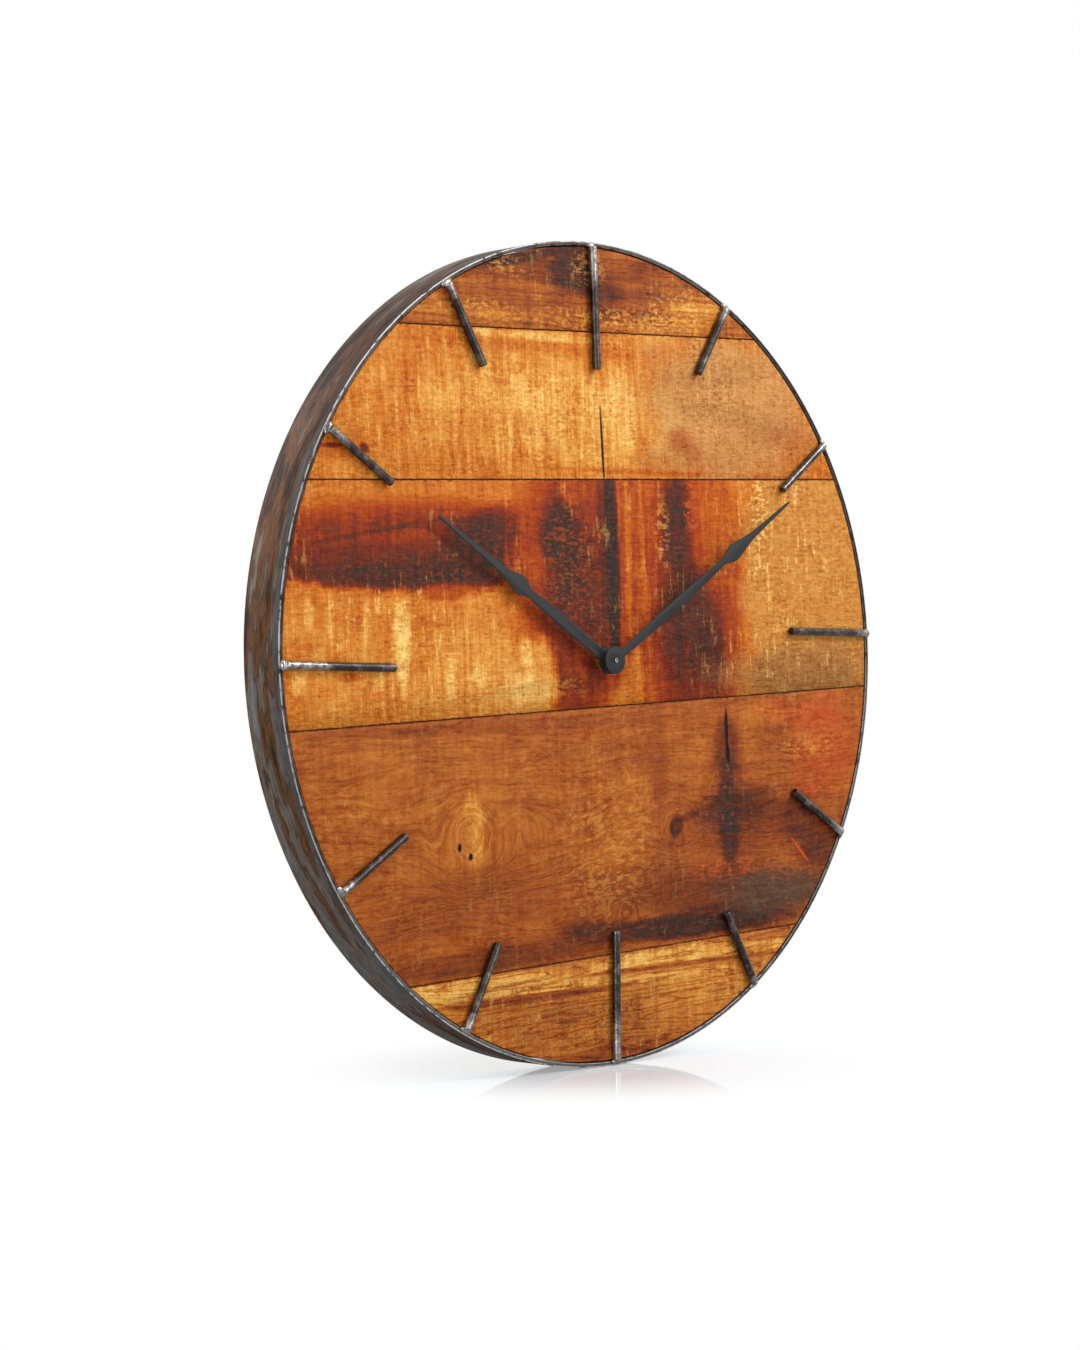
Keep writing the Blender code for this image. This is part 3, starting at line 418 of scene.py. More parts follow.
print("patterns:", ", ".join([*grain_patterns, *saw_patterns]))

# %% Torn fibres and saw lines
# How much of a slow pattern lies between two contour lines: of growth, and of torn grit
ring_step, curl_step = 0.05, 0.07


def add_wear(node, own, part, lines):
    """Adds what growth, tearing and the saw left to the patterns of a board."""
    # Saw lines across the board that waver slowly; a wave of scale 1 repeats every 0.314
    kerf_mm, wave_period = 3.1, 0.314
    upright = node("Mapping", {"Vector": own, "Scale": (1.0, 0.2, 0.07)})
    part["kerfs"] = node("TexWave", {"Vector": upright, "Scale": wave_period / kerf_mm, "Distortion": 9.0,
                                     "Detail": 3.0, "Detail Scale": 1.3}, bands_direction="X")

    # Torn ticks of many sizes, and runs of them along the saw's columns
    uneven = node("Math MULTIPLY_ADD", [part["grit"], 0.5, part["ticks"]])
    uneven = node("Math MULTIPLY_ADD", [part["mottle"], 0.6, uneven])
    part["crisp"] = node("MapRange SMOOTHSTEP", [uneven, 1.05, 1.15])
    part["sparse"] = node("MapRange SMOOTHSTEP", [uneven, 1.13, 1.24])
    rails = node("MapRange SMOOTHSTEP", [part["columns"], 0.55, 0.62])
    part["ladder"] = node("Math MULTIPLY", [rails, node("MapRange", [uneven, 0.95, 1.10, 0.3, 1.0])])
    # Between those columns the blade left stacks of short dark rungs
    between = node("MapRange SMOOTHSTEP", [part["columns"], 0.41, 0.48, 1.0, 0.0])
    rungs = node("MapRange SMOOTHSTEP", [part["rungs"], 0.48, 0.60])
    part["stacks"] = node("Math MULTIPLY", [rungs, between])

    # Growth rings are the contour lines of one slow pattern, and each ends in a thin dark line
    rings = node("Math MULTIPLY_ADD", [part["fibre"], 0.10, part["flow"]])
    rings = node("Math PINGPONG", [rings, ring_step])
    part["growth"] = node("MapRange SMOOTHSTEP", [rings, 0.0, 0.014, lines, 0.0])
    part["rings"] = node("Math MULTIPLY", [rings, 1 / ring_step])
    curls = node("Math PINGPONG", [part["grit"], curl_step])
    part["curls"] = node("Math MULTIPLY", [curls, 1 / curl_step])


print("growth and wear can be added to the patterns")

# %% [markdown]
# ## One board's finish
# The recipe has five steps: the depth of tone from the marks, the disturbance by grain and saw, the
# ramp and the stains beside it, light and dark (partly painted highlight and shade of the torn grain's
# relief), and the relief with its cracks and worn seams. An oiled board is satin where it is smooth and
# dull where it is torn, so roughness follows the same patterns.

# %% Tone and stains
def tone_depth(node, part, ground, marks, cover, figure, saw):
    """How deep in the row of tones each place is."""
    depth = node("Math MULTIPLY_ADD", [part["patch"], 0.30, tone_depths[ground] - 0.15])
    for tone, *mark in marks:
        if tone in tone_depths:
            depth = node("Mix", [cover(mark), depth, tone_depths[tone]])

    # Grain, saw and char disturb it
    for pattern, strength in (("bands", 0.95 * figure), ("streaks", 0.85 * saw), ("mottle", 0.34),
                              ("fibre", 0.26), ("grit", 0.20)):
        centred = node("Math SUBTRACT", [part[pattern], 0.5])
        depth = node("Math MULTIPLY_ADD", [centred, strength, depth])
    scorched = node("MapRange", [depth, 0.70, 0.90, 0.0, -0.20])
    sparks = node("Math MULTIPLY_ADD", [part["sparse"], scorched, depth])
    return node("Math MULTIPLY_ADD", [part["growth"], 0.45, sparks])


def stained(node, part, wood, marks, cover):
    """Stains beside the row, some of them only on torn ticks or on the ladders of them."""
    only_on = {"ticked": part["crisp"], "laddered": part["ladder"]}
    for tone, *mark in marks:
        if tone not in tone_depths:
            *limits, stain = tone.split()
            strength = cover(mark)
            for limit in limits:
                strength = node("Math MULTIPLY", [strength, only_on[limit]])
            wood = node("Mix RGBA", [strength, wood, stains[stain]])
    return wood


print("marks can be laid on a board")

# %% Light and dark
def grain_tone_and_painted_relief_light(node, part, figure, lines, saw):
    """How bright each place is made by fibres, grit, growth and saw lines; the torn ticks and curls also paint
    the highlight and shade of the torn grain's relief.
    """
    clear = 1.7 - 1.3 * saw
    value = node("Math MULTIPLY_ADD", [part["fibre"], clear, 1.08 - clear / 2])
    busy = node("MapRange", [part["patch"], 0.35, 0.65, 0.6, 1.4])
    # Painted highlight and shade: torn ticks and curls lighten and darken spots as the torn grain's relief
    # would, besides their own tone
    shades = ((part["grit"], 0.7), (part["curls"], 0.34), (node("MapRange", [part["ticks"], 0.38, 0.62]), 0.34),
              (part["bands"], 0.9 * figure), (part["rings"], 0.6 * lines), (part["kerfs"], 0.12 * saw))
    for pattern, strength in shades:
        centred = node("Math SUBTRACT", [pattern, 0.5])
        varied = node("Math MULTIPLY", [centred, busy])
        value = node("Math MULTIPLY_ADD", [varied, strength, value])
    return node("Math MULTIPLY_ADD", [part["stacks"], -0.55 * saw, value])


def worn_along(node, part, place, wood, seams):
    """The dark, worn edges along the seams."""
    split = node("SeparateXYZ", [place])
    for seam_height, slope in seams:
        line = node("Math MULTIPLY_ADD", [split.outputs["X"], slope, seam_height])
        off = node("Math ABSOLUTE", [node("Math SUBTRACT", [split.outputs["Z"], line])])
        off = node("Math MULTIPLY_ADD", [part["grit"], -2.6, off])
        worn = node("MapRange SMOOTHSTEP", [off, -1.0, -0.2, 0.75, 0.0])
        wood = node("Mix RGBA", [worn, wood, scorched_tones[-2]])
    return wood


print("grain can be shaded and seams can be worn")

# %% Oiled reclaimed teak
# A crack's strength, softness and raggedness
crack_edge = (1.0, 0.4, 0.25)


def teak(name, seed, row, ground, marks, knots=(), cracks=(), seams=(), saw=0.5, torn=0.3, figure=0.5,
         lines=0.2, wander=14.0):
    """Oiled reclaimed teak with its own marks, knots, cracks and worn seams."""
    finish, node, coat, place_mm = new_finish(name)
    own, part = board_patterns(node, place_mm, seed, knots, wander)
    add_wear(node, own, part, lines)

    # The ramp's tones and the stains, within ovals whose edges fray with the patterns
    fray = node("Math MULTIPLY_ADD", [part["mottle"], 1.5, -1.95])
    for pattern, strength in (("streaks", 1.2), ("grit", 0.5), ("fibre", 0.7)):
        fray = node("Math MULTIPLY_ADD", [part[pattern], strength, fray])
    cover = partial(oval, node, place_mm, fray=fray)
    depth = tone_depth(node, part, ground, marks, cover, figure, saw)
    wood = node("ValToRGB", [depth], tuple(zip(tone_depths.values(), row)))
    wood = stained(node, part, wood, marks, cover)

    # The dark side is redder, as oil makes it
    value = grain_tone_and_painted_relief_light(node, part, figure, lines, saw)
    channels = [node("Math POWER", [value, power]) for power in (0.6, 1.2, 1.9)]
    wood = node("Mix RGBA", [1.0, wood, node("CombineXYZ", channels)], blend_type="MULTIPLY")

    # Torn fibres that took no stain
    loose = node("MapRange SMOOTHSTEP", [part["patch"], 0.47, 0.58])
    part["bare"] = node("Math MULTIPLY", [part["ladder"], node("Math MULTIPLY", [loose, torn])])
    wood = node("Mix RGBA", [part["bare"], wood, stains["straw"]])

    # Relief, cracks and the worn edges along the seams
    relief = node("Math MULTIPLY", [part["kerfs"], 0.10 * saw])
    for pattern, strength in (("fibre", 0.6), ("ticks", 0.6), ("grit", 0.6), ("curls", 0.10), ("bare", 0.3)):
        relief = node("Math MULTIPLY_ADD", [part[pattern], strength, relief])
    for mark in cracks:
        open_here = cover((*mark, *crack_edge))
        wood = node("Mix RGBA", [open_here, wood, "#1c120d"])
        relief = node("Math MULTIPLY_ADD", [open_here, -2.0, relief])
    wood = worn_along(node, part, place_mm, wood, seams)

    # An oiled face: satin where it is smooth, dull where it is torn
    gloss = node("Math MULTIPLY_ADD", [part["grit"], 0.3, 0.36])
    coat({"Base Color": wood, "Roughness": gloss, "Specular IOR Level": 0.10,
          "Normal": node("Bump", {"Height": relief, "Distance": 0.0013, "Strength": 1.0})})
    return finish


print("one recipe serves all five boards")

# %% [markdown]
# ## The five planks
# A mark is written as tone, place across and up in mm from the clock's centre, half width, half height,
# turn, strength, softness of its edge, and how ragged the edge is. A ticked stain lies only on torn
# ticks, a laddered one only where they stack up along a saw column. The seams are the straight lines that
# the measured planks meet along, and the planks' sawn edges are eased by half a millimetre.

# %% Seams
seam_lines = [(0.792 * 296.1, 0.014), (0.429 * 296.1, 0.012), (-0.131 * 296.1, 0.015), (-0.741 * 296.1, 0.015)]
print("seams at", [round(height) for height, _ in seam_lines], "mm")

# %% One plank
def plank(number, row, ground, marks, **character):
    """A board's own finish, and the eased copy of the board that takes it."""
    name = ("top", "second", "middle", "fourth", "bottom")[number - 1]
    finish = teak(f"{name}_plank_teak", number, row, ground, marks, **character)
    eased(f"plank_{number}", 0.45, finish, "teak")
    print(f"{name} plank:", len(finish.node_tree.nodes), "nodes")


print("planks can be laid now")

# %% Top plank
top_marks = [
    ("rust", -62, 268, 70, 7, 3, 0.9, 0.4, 0.8),
    # Partly char, partly the hoop's shadow painted along the rim
    ("char", -57, 286, 50, 3.6, -12, 0.95, 0.4, 0.5),
    ("russet", -38, 276, 36, 12, 0, 0.7, 0.5, 0.9),
    ("rust", 46, 276, 36, 14, 0, 0.8, 0.4, 0.7),
    ("russet", 62, 284, 30, 6, -14, 0.7, 0.5, 0.9),
    ("char", -14, 279, 22, 18, 0, 0.9, 0.4, 1.0),
    ("oxblood", 14, 263, 14, 18, 0, 0.7, 0.5, 1.0),
    ("char", -33, 259, 9, 5, 0, 0.7, 0.5, 1.0),
    ("char", 30, 263, 9, 6, 0, 0.35, 0.5, 1.0),
    ("rust", -50, 256, 44, 4, 3, 0.5, 0.5, 0.8),
    ("honey", -70, 264, 50, 5, 4, 0.6, 0.6, 0.9),
    ("russet", 50, 252, 52, 4, 0, 0.6, 0.5, 1.0),
    ("gold", 112, 250, 56, 15, -18, 0.85, 0.5, 1.0),
    ("honey", -130, 241, 70, 9, 4, 0.85, 0.5, 1.0),
    ("honey", 60, 239, 90, 4, 0, 0.8, 0.5, 1.0),
    ("ticked tan", -84, 279, 22, 7, 10, 0.7, 0.5, 0.8),
    ("ticked tan", 2, 281, 18, 12, 0, 0.6, 0.5, 0.8),
    ("ticked straw", 92, 255, 40, 14, -14, 0.35, 0.6, 1.0),
    ("ticked honey", -112, 246, 44, 7, 4, 0.8, 0.6, 1.0),
    ("ticked honey", 30, 243, 80, 9, 0, 0.8, 0.6, 1.0),
]
plank(1, oiled_tones, "amber", top_marks, seams=seam_lines[:1], saw=0.5, torn=0.2, figure=0.9, lines=0.35)

# %% Second plank
second_marks = [
    ("straw", -40, 176, 110, 32, 0, 0.55, 0.6, 0.6),
    ("straw", 28, 168, 18, 34, 0, 0.45, 0.3, 0.5),
    ("honey", -105, 166, 46, 12, 0, 0.7, 0.5, 0.6),
    ("honey", -210, 150, 70, 24, 0, 0.8, 0.7, 0.6),
    ("rust", 92, 156, 12, 8, 10, 0.85, 0.5, 0.6),
    ("rust", 104, 148, 8, 7, 0, 0.6, 0.5, 0.7),
    ("amber", 200, 160, 60, 26, 0, 0.8, 0.6, 0.7),
    ("rust", 197, 165, 13, 5, 0, 0.6, 0.6, 0.8),
    ("amber", 74, 214, 12, 14, 0, 0.5, 0.7, 0.9),
    ("rust", -246, 145, 16, 7, 0, 0.6, 0.5, 0.7),
    ("char", -248, 147, 9, 1.6, 0, 0.7, 0.5, 0.5),
    ("char", -219, 146, 4, 3, 30, 0.8, 0.5, 0.5),
    ("straw", -60, 229, 70, 3, 1, 0.6, 0.5, 0.7),
    ("amber", -60, 221, 130, 4, 1, 0.55, 0.6, 0.7),
    ("rust", 120, 132, 130, 2.4, 1, 0.6, 0.5, 0.7),
    ("sand", 150, 184, 92, 56, 0, 0.7, 0.4, 0.7),
    ("ember", 92, 157, 13, 8, 10, 0.7, 0.6, 0.7),
    ("ember", 106, 148, 8, 7, 0, 0.6, 0.6, 0.8),
    ("ember", 197, 163, 26, 8, 0, 0.4, 0.6, 0.8),
    ("dusk", 125, 206, 60, 10, -6, 0.35, 0.7, 0.7),
    ("dusk", 150, 176, 70, 8, 8, 0.35, 0.7, 0.7),
    ("dusk", 95, 142, 50, 7, 0, 0.35, 0.7, 0.7),
    ("laddered straw", -120, 190, 130, 34, 0, 0.4, 0.5, 0.5),
]
second_cracks = [(8.2, 152, 1.0, 27, -1.5)]
plank(2, scorched_tones, "honey", second_marks, cracks=second_cracks, seams=seam_lines[:2], saw=0.7,
      torn=0.4, figure=0.2, lines=0.1, wander=8.0)

# %% Middle plank
middle_marks = [
    ("gold", -96, -12, 90, 30, 0, 0.7, 0.6, 0.7),
    ("amber", -165, 108, 150, 22, 0, 0.8, 0.4, 0.5),
    ("honey", -160, 116, 120, 8, 0, 0.6, 0.5, 0.6),
    ("rust", -170, 84, 150, 28, 0, 0.9, 0.22, 0.45),
    ("russet", -200, 80, 122, 24, -1, 0.9, 0.3, 0.6),
    ("oxblood", -180, 64, 112, 16, 1, 0.9, 0.35, 0.6),
    ("char", -175, 60, 96, 9, 0, 0.9, 0.4, 0.7),
    # Partly char, partly the hour hand's shadow painted into the wood
    ("char", -100, 80, 50, 24, -4, 0.95, 0.35, 0.7),
    ("char", -215, 89, 56, 1.6, -8, 0.55, 0.7, 0.5),
    ("rust", -150, 47, 22, 6, 0, 0.9, 0.4, 0.7),
    ("rust", -20, 62, 70, 100, 0, 0.9, 0.25, 0.4),
    ("russet", -24, 40, 44, 96, 0, 0.85, 0.35, 0.5),
    ("coal", -38, 74, 19, 38, 0, 0.75, 0.35, 0.8),
    ("char", -20, 44, 24, 48, 0, 0.75, 0.4, 0.9),
    ("rust", -20, 118, 15, 9, 0, 0.95, 0.25, 0.6),
    ("rust", -64, 64, 12, 14, 0, 0.85, 0.5, 0.6),
    ("russet", -28, -12, 28, 30, 0, 0.9, 0.35, 0.7),
    ("gold", -62, -14, 14, 28, 0, 0.9, 0.4, 0.5),
    ("straw", -75, -22, 27, 10, 0, 0.9, 0.5, 0.9),
    ("rust", -46, 60, 8, 14, 0, 0.3, 0.5, 0.9),
    ("rust", 98, 46, 58, 130, 0, 0.95, 0.14, 0.25),
    ("russet", 94, 20, 42, 84, 0, 0.85, 0.4, 0.5),
    ("coal", 83, 98, 15, 38, 0, 0.65, 0.4, 0.9),
    ("char", 90, 20, 26, 46, 0, 0.85, 0.4, 0.9),
    ("char", 118, 2, 14, 34, 0, 0.7, 0.5, 0.8),
    ("amber", 130, 92, 24, 44, 0, 0.7, 0.4, 0.5),
    ("rust", 39, 60, 15, 130, 0, 1.0, 0.22, 0.25),
    ("honey", 32, 84, 3, 60, 0, 0.55, 0.5, 0.4),
    ("honey", 46, 90, 3, 50, 0, 0.5, 0.5, 0.4),
    ("honey", 36, -20, 8, 26, 0, 0.8, 0.5, 0.6),
    ("coal", 14, 70, 7.5, 80, 0, 0.9, 0.3, 0.3),
    ("oxblood", 3, 64, 4, 90, 0, 0.8, 0.4, 0.4),
    ("tan", 232, 46, 76, 120, 0, 0.8, 0.12, 0.25),
    ("dusk", 220, -20, 84, 20, 0, 0.9, 0.5, 0.7),
    ("ticked rust", -28, 66, 26, 56, 0, 0.35, 0.5, 0.6),
    ("ticked tan", 68, 92, 7, 24, 0, 0.7, 0.5, 0.9),
    ("ticked flame", 102, 108, 9, 22, 0, 0.7, 0.4, 0.6),
    ("ticked straw", 176, 104, 10, 30, 0, 0.7, 0.4, 0.6),
    ("laddered straw", 200, 70, 56, 60, 0, 0.7, 0.4, 0.4),
    ("laddered straw", 205, -6, 70, 24, 0, 0.5, 0.5, 0.5),
    ("straw", -191, 14, 8, 33, 0, 0.85, 0.25, 0.6),
    ("straw", -272, 36, 5, 9, 0, 0.6, 0.5, 0.9),
    ("straw", -254, 32, 4, 14, 0, 0.6, 0.5, 0.9),
    ("straw", -222, 30, 3, 16, 0, 0.6, 0.5, 0.9),
    ("straw", -283, -12, 6, 8, 20, 0.7, 0.5, 0.9),
    ("straw", -213, -13, 4, 7, 0, 0.6, 0.5, 0.9),
    ("straw", -148, -10, 6, 14, 0, 0.6, 0.5, 0.9),
    ("straw", -124, -14, 8, 7, 0, 0.6, 0.5, 0.9),
    ("straw", -76, 4, 6, 12, 0, 0.75, 0.4, 0.8),
    ("russet", -240, -9, 8, 3, 0, 0.6, 0.5, 0.9),
    ("ticked honey", -60, -22, 40, 12, 0, 0.4, 0.5, 0.6),
    ("laddered straw", -190, 10, 90, 40, 0, 0.6, 0.5, 0.5),
]
plank(3, scorched_tones, "honey", middle_marks, seams=seam_lines[1:3], saw=0.6, torn=0.3, figure=0.24,
      lines=0.1, wander=8.0)

# %% Fourth plank
fourth_marks = [
    ("honey", -170, -88, 120, 48, 0, 0.45, 0.7, 0.6),
    ("honey", -235, -60, 50, 6, 3, 0.6, 0.5, 0.7),
    ("rust", -120, -48, 170, 5, 1, 0.7, 0.5, 0.7),
    ("rust", -150, -176, 90, 20, -6, 0.5, 0.7, 0.7),
    ("honey", 8, -122, 30, 44, 14, 0.5, 0.6, 0.7),
    ("rust", 20, -164, 50, 14, 0, 0.5, 0.6, 0.7),
    ("rust", 55, -80, 9, 36, 0, 0.6, 0.5, 0.6),
    ("honey", 98, -82, 10, 24, 8, 0.7, 0.5, 0.7),
    ("amber", 258, -78, 24, 26, 0, 0.6, 0.5, 0.8),
    ("russet", 140, -136, 42, 30, 0, 0.65, 0.5, 0.8),
    ("oxblood", 131, -82, 14, 30, 0, 0.8, 0.5, 0.7),
    ("oxblood", 140, -122, 46, 14, 0, 0.85, 0.5, 0.7),
    ("char", 130, -132, 10, 40, 0, 0.9, 0.5, 0.8),
    ("oxblood", 72, -131, 6, 9, 20, 0.9, 0.4, 0.7),
    ("oxblood", 88, -124, 14, 3, -10, 0.7, 0.5, 0.7),
    ("honey", 170, -53, 30, 7, 0, 0.6, 0.5, 0.8),
    ("oxblood", 208, -134, 24, 20, 0, 0.85, 0.5, 0.7),
    ("oxblood", 136, -187, 92, 16, 2, 0.72, 0.5, 0.9),
    ("oxblood", 232, -158, 26, 18, 0, 0.8, 0.5, 0.7),
    ("russet", 60, -178, 60, 16, 4, 0.6, 0.7, 0.7),
    ("coal", 88, -206, 104, 9, 1, 0.82, 0.35, 0.6),
    ("oxblood", 130, -196, 60, 4, 0, 0.7, 0.4, 0.7),
    ("russet", -110, -211, 130, 9, -1, 0.75, 0.4, 0.5),
    ("oxblood", -20, -200, 34, 8, 6, 0.8, 0.5, 0.7),
    ("russet", 26, -182, 12, 8, 0, 0.5, 0.6, 0.7),
    ("flame", 244, -78, 36, 38, 30, 0.5, 0.5, 0.8),
    ("flame", 218, -54, 44, 9, 6, 0.42, 0.4, 0.8),
    ("flame", 222, -110, 16, 10, 20, 0.45, 0.5, 0.7),
    ("flame", 210, -159, 13, 1.5, 46, 0.95, 0.4, 0.2),
    ("slate", 176, -187, 62, 14, 3, 0.8, 0.6, 1.5),
    ("gold", -134, -120, 12, 24, 0, 0.95, 0.3, 0.3),
    ("honey", -141, -122, 9, 21, 0, 0.7, 0.3, 0.3),
    ("rust", 132, -168, 40, 6, 0, 0.7, 0.5, 0.8),
    ("ticked honey", 0, -140, 44, 50, 16, 0.4, 0.5, 0.6),
    ("ticked honey", 222, -78, 30, 9, 0, 0.4, 0.5, 0.8),
    ("ticked flame", 125, -166, 38, 7, 0, 0.55, 0.5, 0.8),
]
fourth_knots = [(-112, -120, 66, 30, 0.6), (-137, -122, 26, 27, 0.7), (74, -130, 18, 15, 0.8),
                (18, -90, 8, 7, 0.7), (16, -190, 14, 9, 0.8)]
fourth_cracks = [(130.5, -60, 1.5, 14, 1), (131, -80, 2.0, 8, -4), (-146, -131, 1.5, 2.6, 0),
                 (-136, -138, 1.6, 2.2, 20)]
plank(4, oiled_tones, "amber", fourth_marks, knots=fourth_knots, cracks=fourth_cracks, seams=seam_lines[2:],
      saw=0.3, torn=0.12, figure=0.5, lines=0.22, wander=26.0)

# %% Bottom plank
bottom_marks = [
    ("straw", -120, -232, 100, 9, 1, 0.8, 0.3, 0.8),
    ("straw", 90, -228, 110, 6, 1, 0.85, 0.3, 0.8),
    ("straw", 60, -240, 66, 3, 1, 0.8, 0.4, 0.8),
    ("oxblood", 70, -234, 90, 1.6, 1, 0.8, 0.5, 0.9),
    ("oxblood", -90, -242, 80, 2.4, 1, 0.7, 0.5, 0.9),
    ("honey", -50, -258, 60, 12, 0, 0.4, 0.5, 0.8),
    ("gold", 110, -256, 90, 20, 6, 0.7, 0.6, 0.7),
    ("russet", 0, -292, 110, 5, 0, 0.6, 0.6, 0.7),
    ("ember", -115, -232, 46, 1.3, -4, 0.7, 0.5, 1.3),
    ("ember", -96, -240, 60, 1.5, 2, 0.7, 0.5, 1.3),
    ("ember", 100, -233, 60, 1.2, -4, 0.6, 0.5, 1.3),
    ("laddered umber", -26, -264, 54, 20, 0, 0.6, 0.5, 0.5),
    ("ticked umber", -40, -266, 60, 20, 0, 0.55, 0.5, 0.8),
    ("ticked umber", 28, -266, 20, 16, 0, 0.6, 0.5, 0.8),
    ("ticked umber", -90, -240, 80, 9, 0, 0.6, 0.5, 0.8),
]
plank(5, oiled_tones, "honey", bottom_marks, seams=seam_lines[3:], saw=0.4, torn=0.4, figure=0.3, lines=0.5)

# %% [markdown]
# ## Patinated steel
# The hoop is hot-rolled flat bar, 38 by 3 mm, rolled to a circle, left to rust a little, brushed along
# its length and sealed with clear lacquer. That leaves brown rust and blue-grey mill scale in patches a
# hand's width long, with fine brushed lines over both. Patterns that are short in depth and long around
# draw them. They need no unwrapping, because the piece's own coordinates squeezed in depth do the same
# all the way around.
# The front edge's brightness follows the hours: it was ground more in some places than in others, and
# its outer arris is worn bright and carries a painted highlight. Its inner half, towards the wood, is
# darker: partly rust, partly painted shade beside the gap.

# %% Patinated steel
wall, bar_depth_mm = 0.003, 38
# How bright the front edge is ground, by the share of the way around, clockwise from 6
ground_by_hour = [(0.00, 0.95), (0.10, 0.85), (0.19, 0.35), (0.32, 0.35), (0.36, 0.62), (0.42, 0.60),
                  (0.47, 0.55), (0.52, 0.60), (0.58, 0.50), (0.61, 0.12), (0.74, 0.12), (0.77, 0.65),
                  (0.84, 0.65), (0.87, 0.35), (0.93, 0.70), (1.00, 0.95)]
# The bar kept grey scale at 8 o'clock and rusted brown at 10
scale_by_hour = [(0.00, 0.50), (0.08, 0.56), (0.17, 0.58), (0.23, 0.53), (0.28, 0.48), (0.33, 0.42),
                 (0.38, 0.46), (0.43, 0.53), (0.50, 0.50)]
hoop_patterns = {"patches": ((60, 11, 60), 3, 0.55), "lines": ((26, 1.8, 26), 3, 0.55),
                 "scuffs": ((12, 3, 12), 4, 0.55), "nicks": ((7, 2, 7), 3, 0.55)}


def patinated_steel():
    """Rusted, brushed and lacquered hot-rolled bar with a ground front edge."""
    finish, node, coat, place_mm = new_finish("patinated_hot_rolled_steel")
    part = patterns(node, place_mm, hoop_patterns)
    patina = ((0.34, "#31261f"), (0.42, "#5f3d25"), (0.47, "#744c2b"), (0.51, "#45352a"), (0.55, "#6d5d50"),
              (0.60, "#7d7065"), (0.64, "#5c5753"), (0.70, "#7b7a79"))
    # Rust gathered along the middle of the bar, and mill scale stayed near its edges
    split = node("SeparateXYZ", [place_mm])
    angle = node("Math ARCTAN2", [split.outputs["X"], split.outputs["Z"]])
    share = node("Math MULTIPLY_ADD", [angle, 1 / math.tau, 0.5])
    by_hour = node("ValToRGB", [share], scale_by_hour)
    behind = node("Math SUBTRACT", [split.outputs["Y"], front_y * 1000])
    across = node("Math MULTIPLY", [behind, 1 / bar_depth_mm])
    usual = node("ValToRGB", [across], ((0.0, 0.57), (0.22, 0.53), (0.42, 0.455), (0.66, 0.47), (1.0, 0.50)))
    rusted = node("Math MULTIPLY_ADD", [part["scuffs"], 0.25, -1.125])
    for more in (by_hour, part["patches"], usual):
        rusted = node("Math ADD", [rusted, more])
    steel = node("ValToRGB", [rusted], patina)
    rim = node("Math MULTIPLY_ADD", [part["patches"], -16.0, behind])
    blued = node("MapRange SMOOTHSTEP", [rim, -6.0, 5.0, 0.62, 0.0])
    steel = node("Mix RGBA", [blued, steel, "#40474d"])
    brushed = node("MapRange", [part["lines"], 0.32, 0.68, 0.80, 1.16])
    steel = node("VectorMath SCALE", [steel, brushed])

    # How far the front edge was ground, by the clock's hours
    ground = node("ValToRGB", [share], ground_by_hour)
    rough = node("Math MULTIPLY_ADD", [part["scuffs"], 1.6, -0.8])
    worn = node("Math ADD", [ground, rough])
    worn = node("MapRange SMOOTHSTEP", [worn, 0.25, 0.70])
    front = node("Mix RGBA", [worn, "#2c2420", "#625d5a"])
    nicked = node("MapRange SMOOTHSTEP", [part["nicks"], 0.56, 0.64, 0.0, 0.6])
    front = node("Mix RGBA", [nicked, front, "#2a2421"])

    # The outer arris of the front edge is worn bright with a painted highlight, and the inner one stays
    # mostly dark; the inner half is darkened, partly by rust and partly by painted shade beside the gap
    flat = node("CombineXYZ", [split.outputs["X"], 0.0, split.outputs["Z"]])
    radius = node("VectorMath LENGTH", [flat])
    middle = node("Math SUBTRACT", [radius, (hoop_radius - wall / 2) * 1000])
    arris = node("ValToRGB", [node("MapRange", [middle, -1.5, 1.5])],
                ((0.08, 0.45), (0.22, 0.0), (0.70, 0.0), (0.85, 1.0)))
    # Painted shade, partly rust: darker towards the inner arris beside the gap to the wood, less where ground
    rust = node("MapRange", [middle, -1.4, 0.3, 0.8, 0.0])
    rust = node("Math MULTIPLY", [rust, node("MapRange", [ground, 0.65, 0.9, 1.0, 0.1])])
    front = node("Mix RGBA", [rust, front, "#30231c"])
    # Painted highlight, partly worn-bright metal: a dashed bright line along the outer arris
    worn_and_painted_highlight = node("MapRange SMOOTHSTEP", [part["nicks"], 0.37, 0.49])
    worn_and_painted_highlight = node("Math MULTIPLY", [arris, worn_and_painted_highlight])
    worn_and_painted_highlight = node("Math MULTIPLY", [worn_and_painted_highlight, node("MapRange", [ground, 0.1, 0.7, 0.3, 1.0])])
    front = node("Mix RGBA", [worn_and_painted_highlight, front, "#d6d3cf"])
    edge = node("MapRange SMOOTHSTEP", [behind, 0.45, 0.85, 1.0, 0.0])
    skin = node("Mix RGBA", [edge, steel, front])

    # Lacquer over rust is satin; brushed steel is brighter
    dull = node("Math MULTIPLY_ADD", [part["patches"], -0.35, 0.62])
    relief = node("Math MULTIPLY_ADD", [part["lines"], 0.8, part["nicks"]])
    coat({"Base Color": skin, "Roughness": dull, "Metallic": 0.4, "Specular Tint": "#7d736b",
          "Normal": node("Bump", {"Height": relief, "Distance": 0.00015, "Strength": 0.5})})
    return finish


steel_bar = patinated_steel()
print("hoop steel has", len(steel_bar.node_tree.nodes), "nodes")

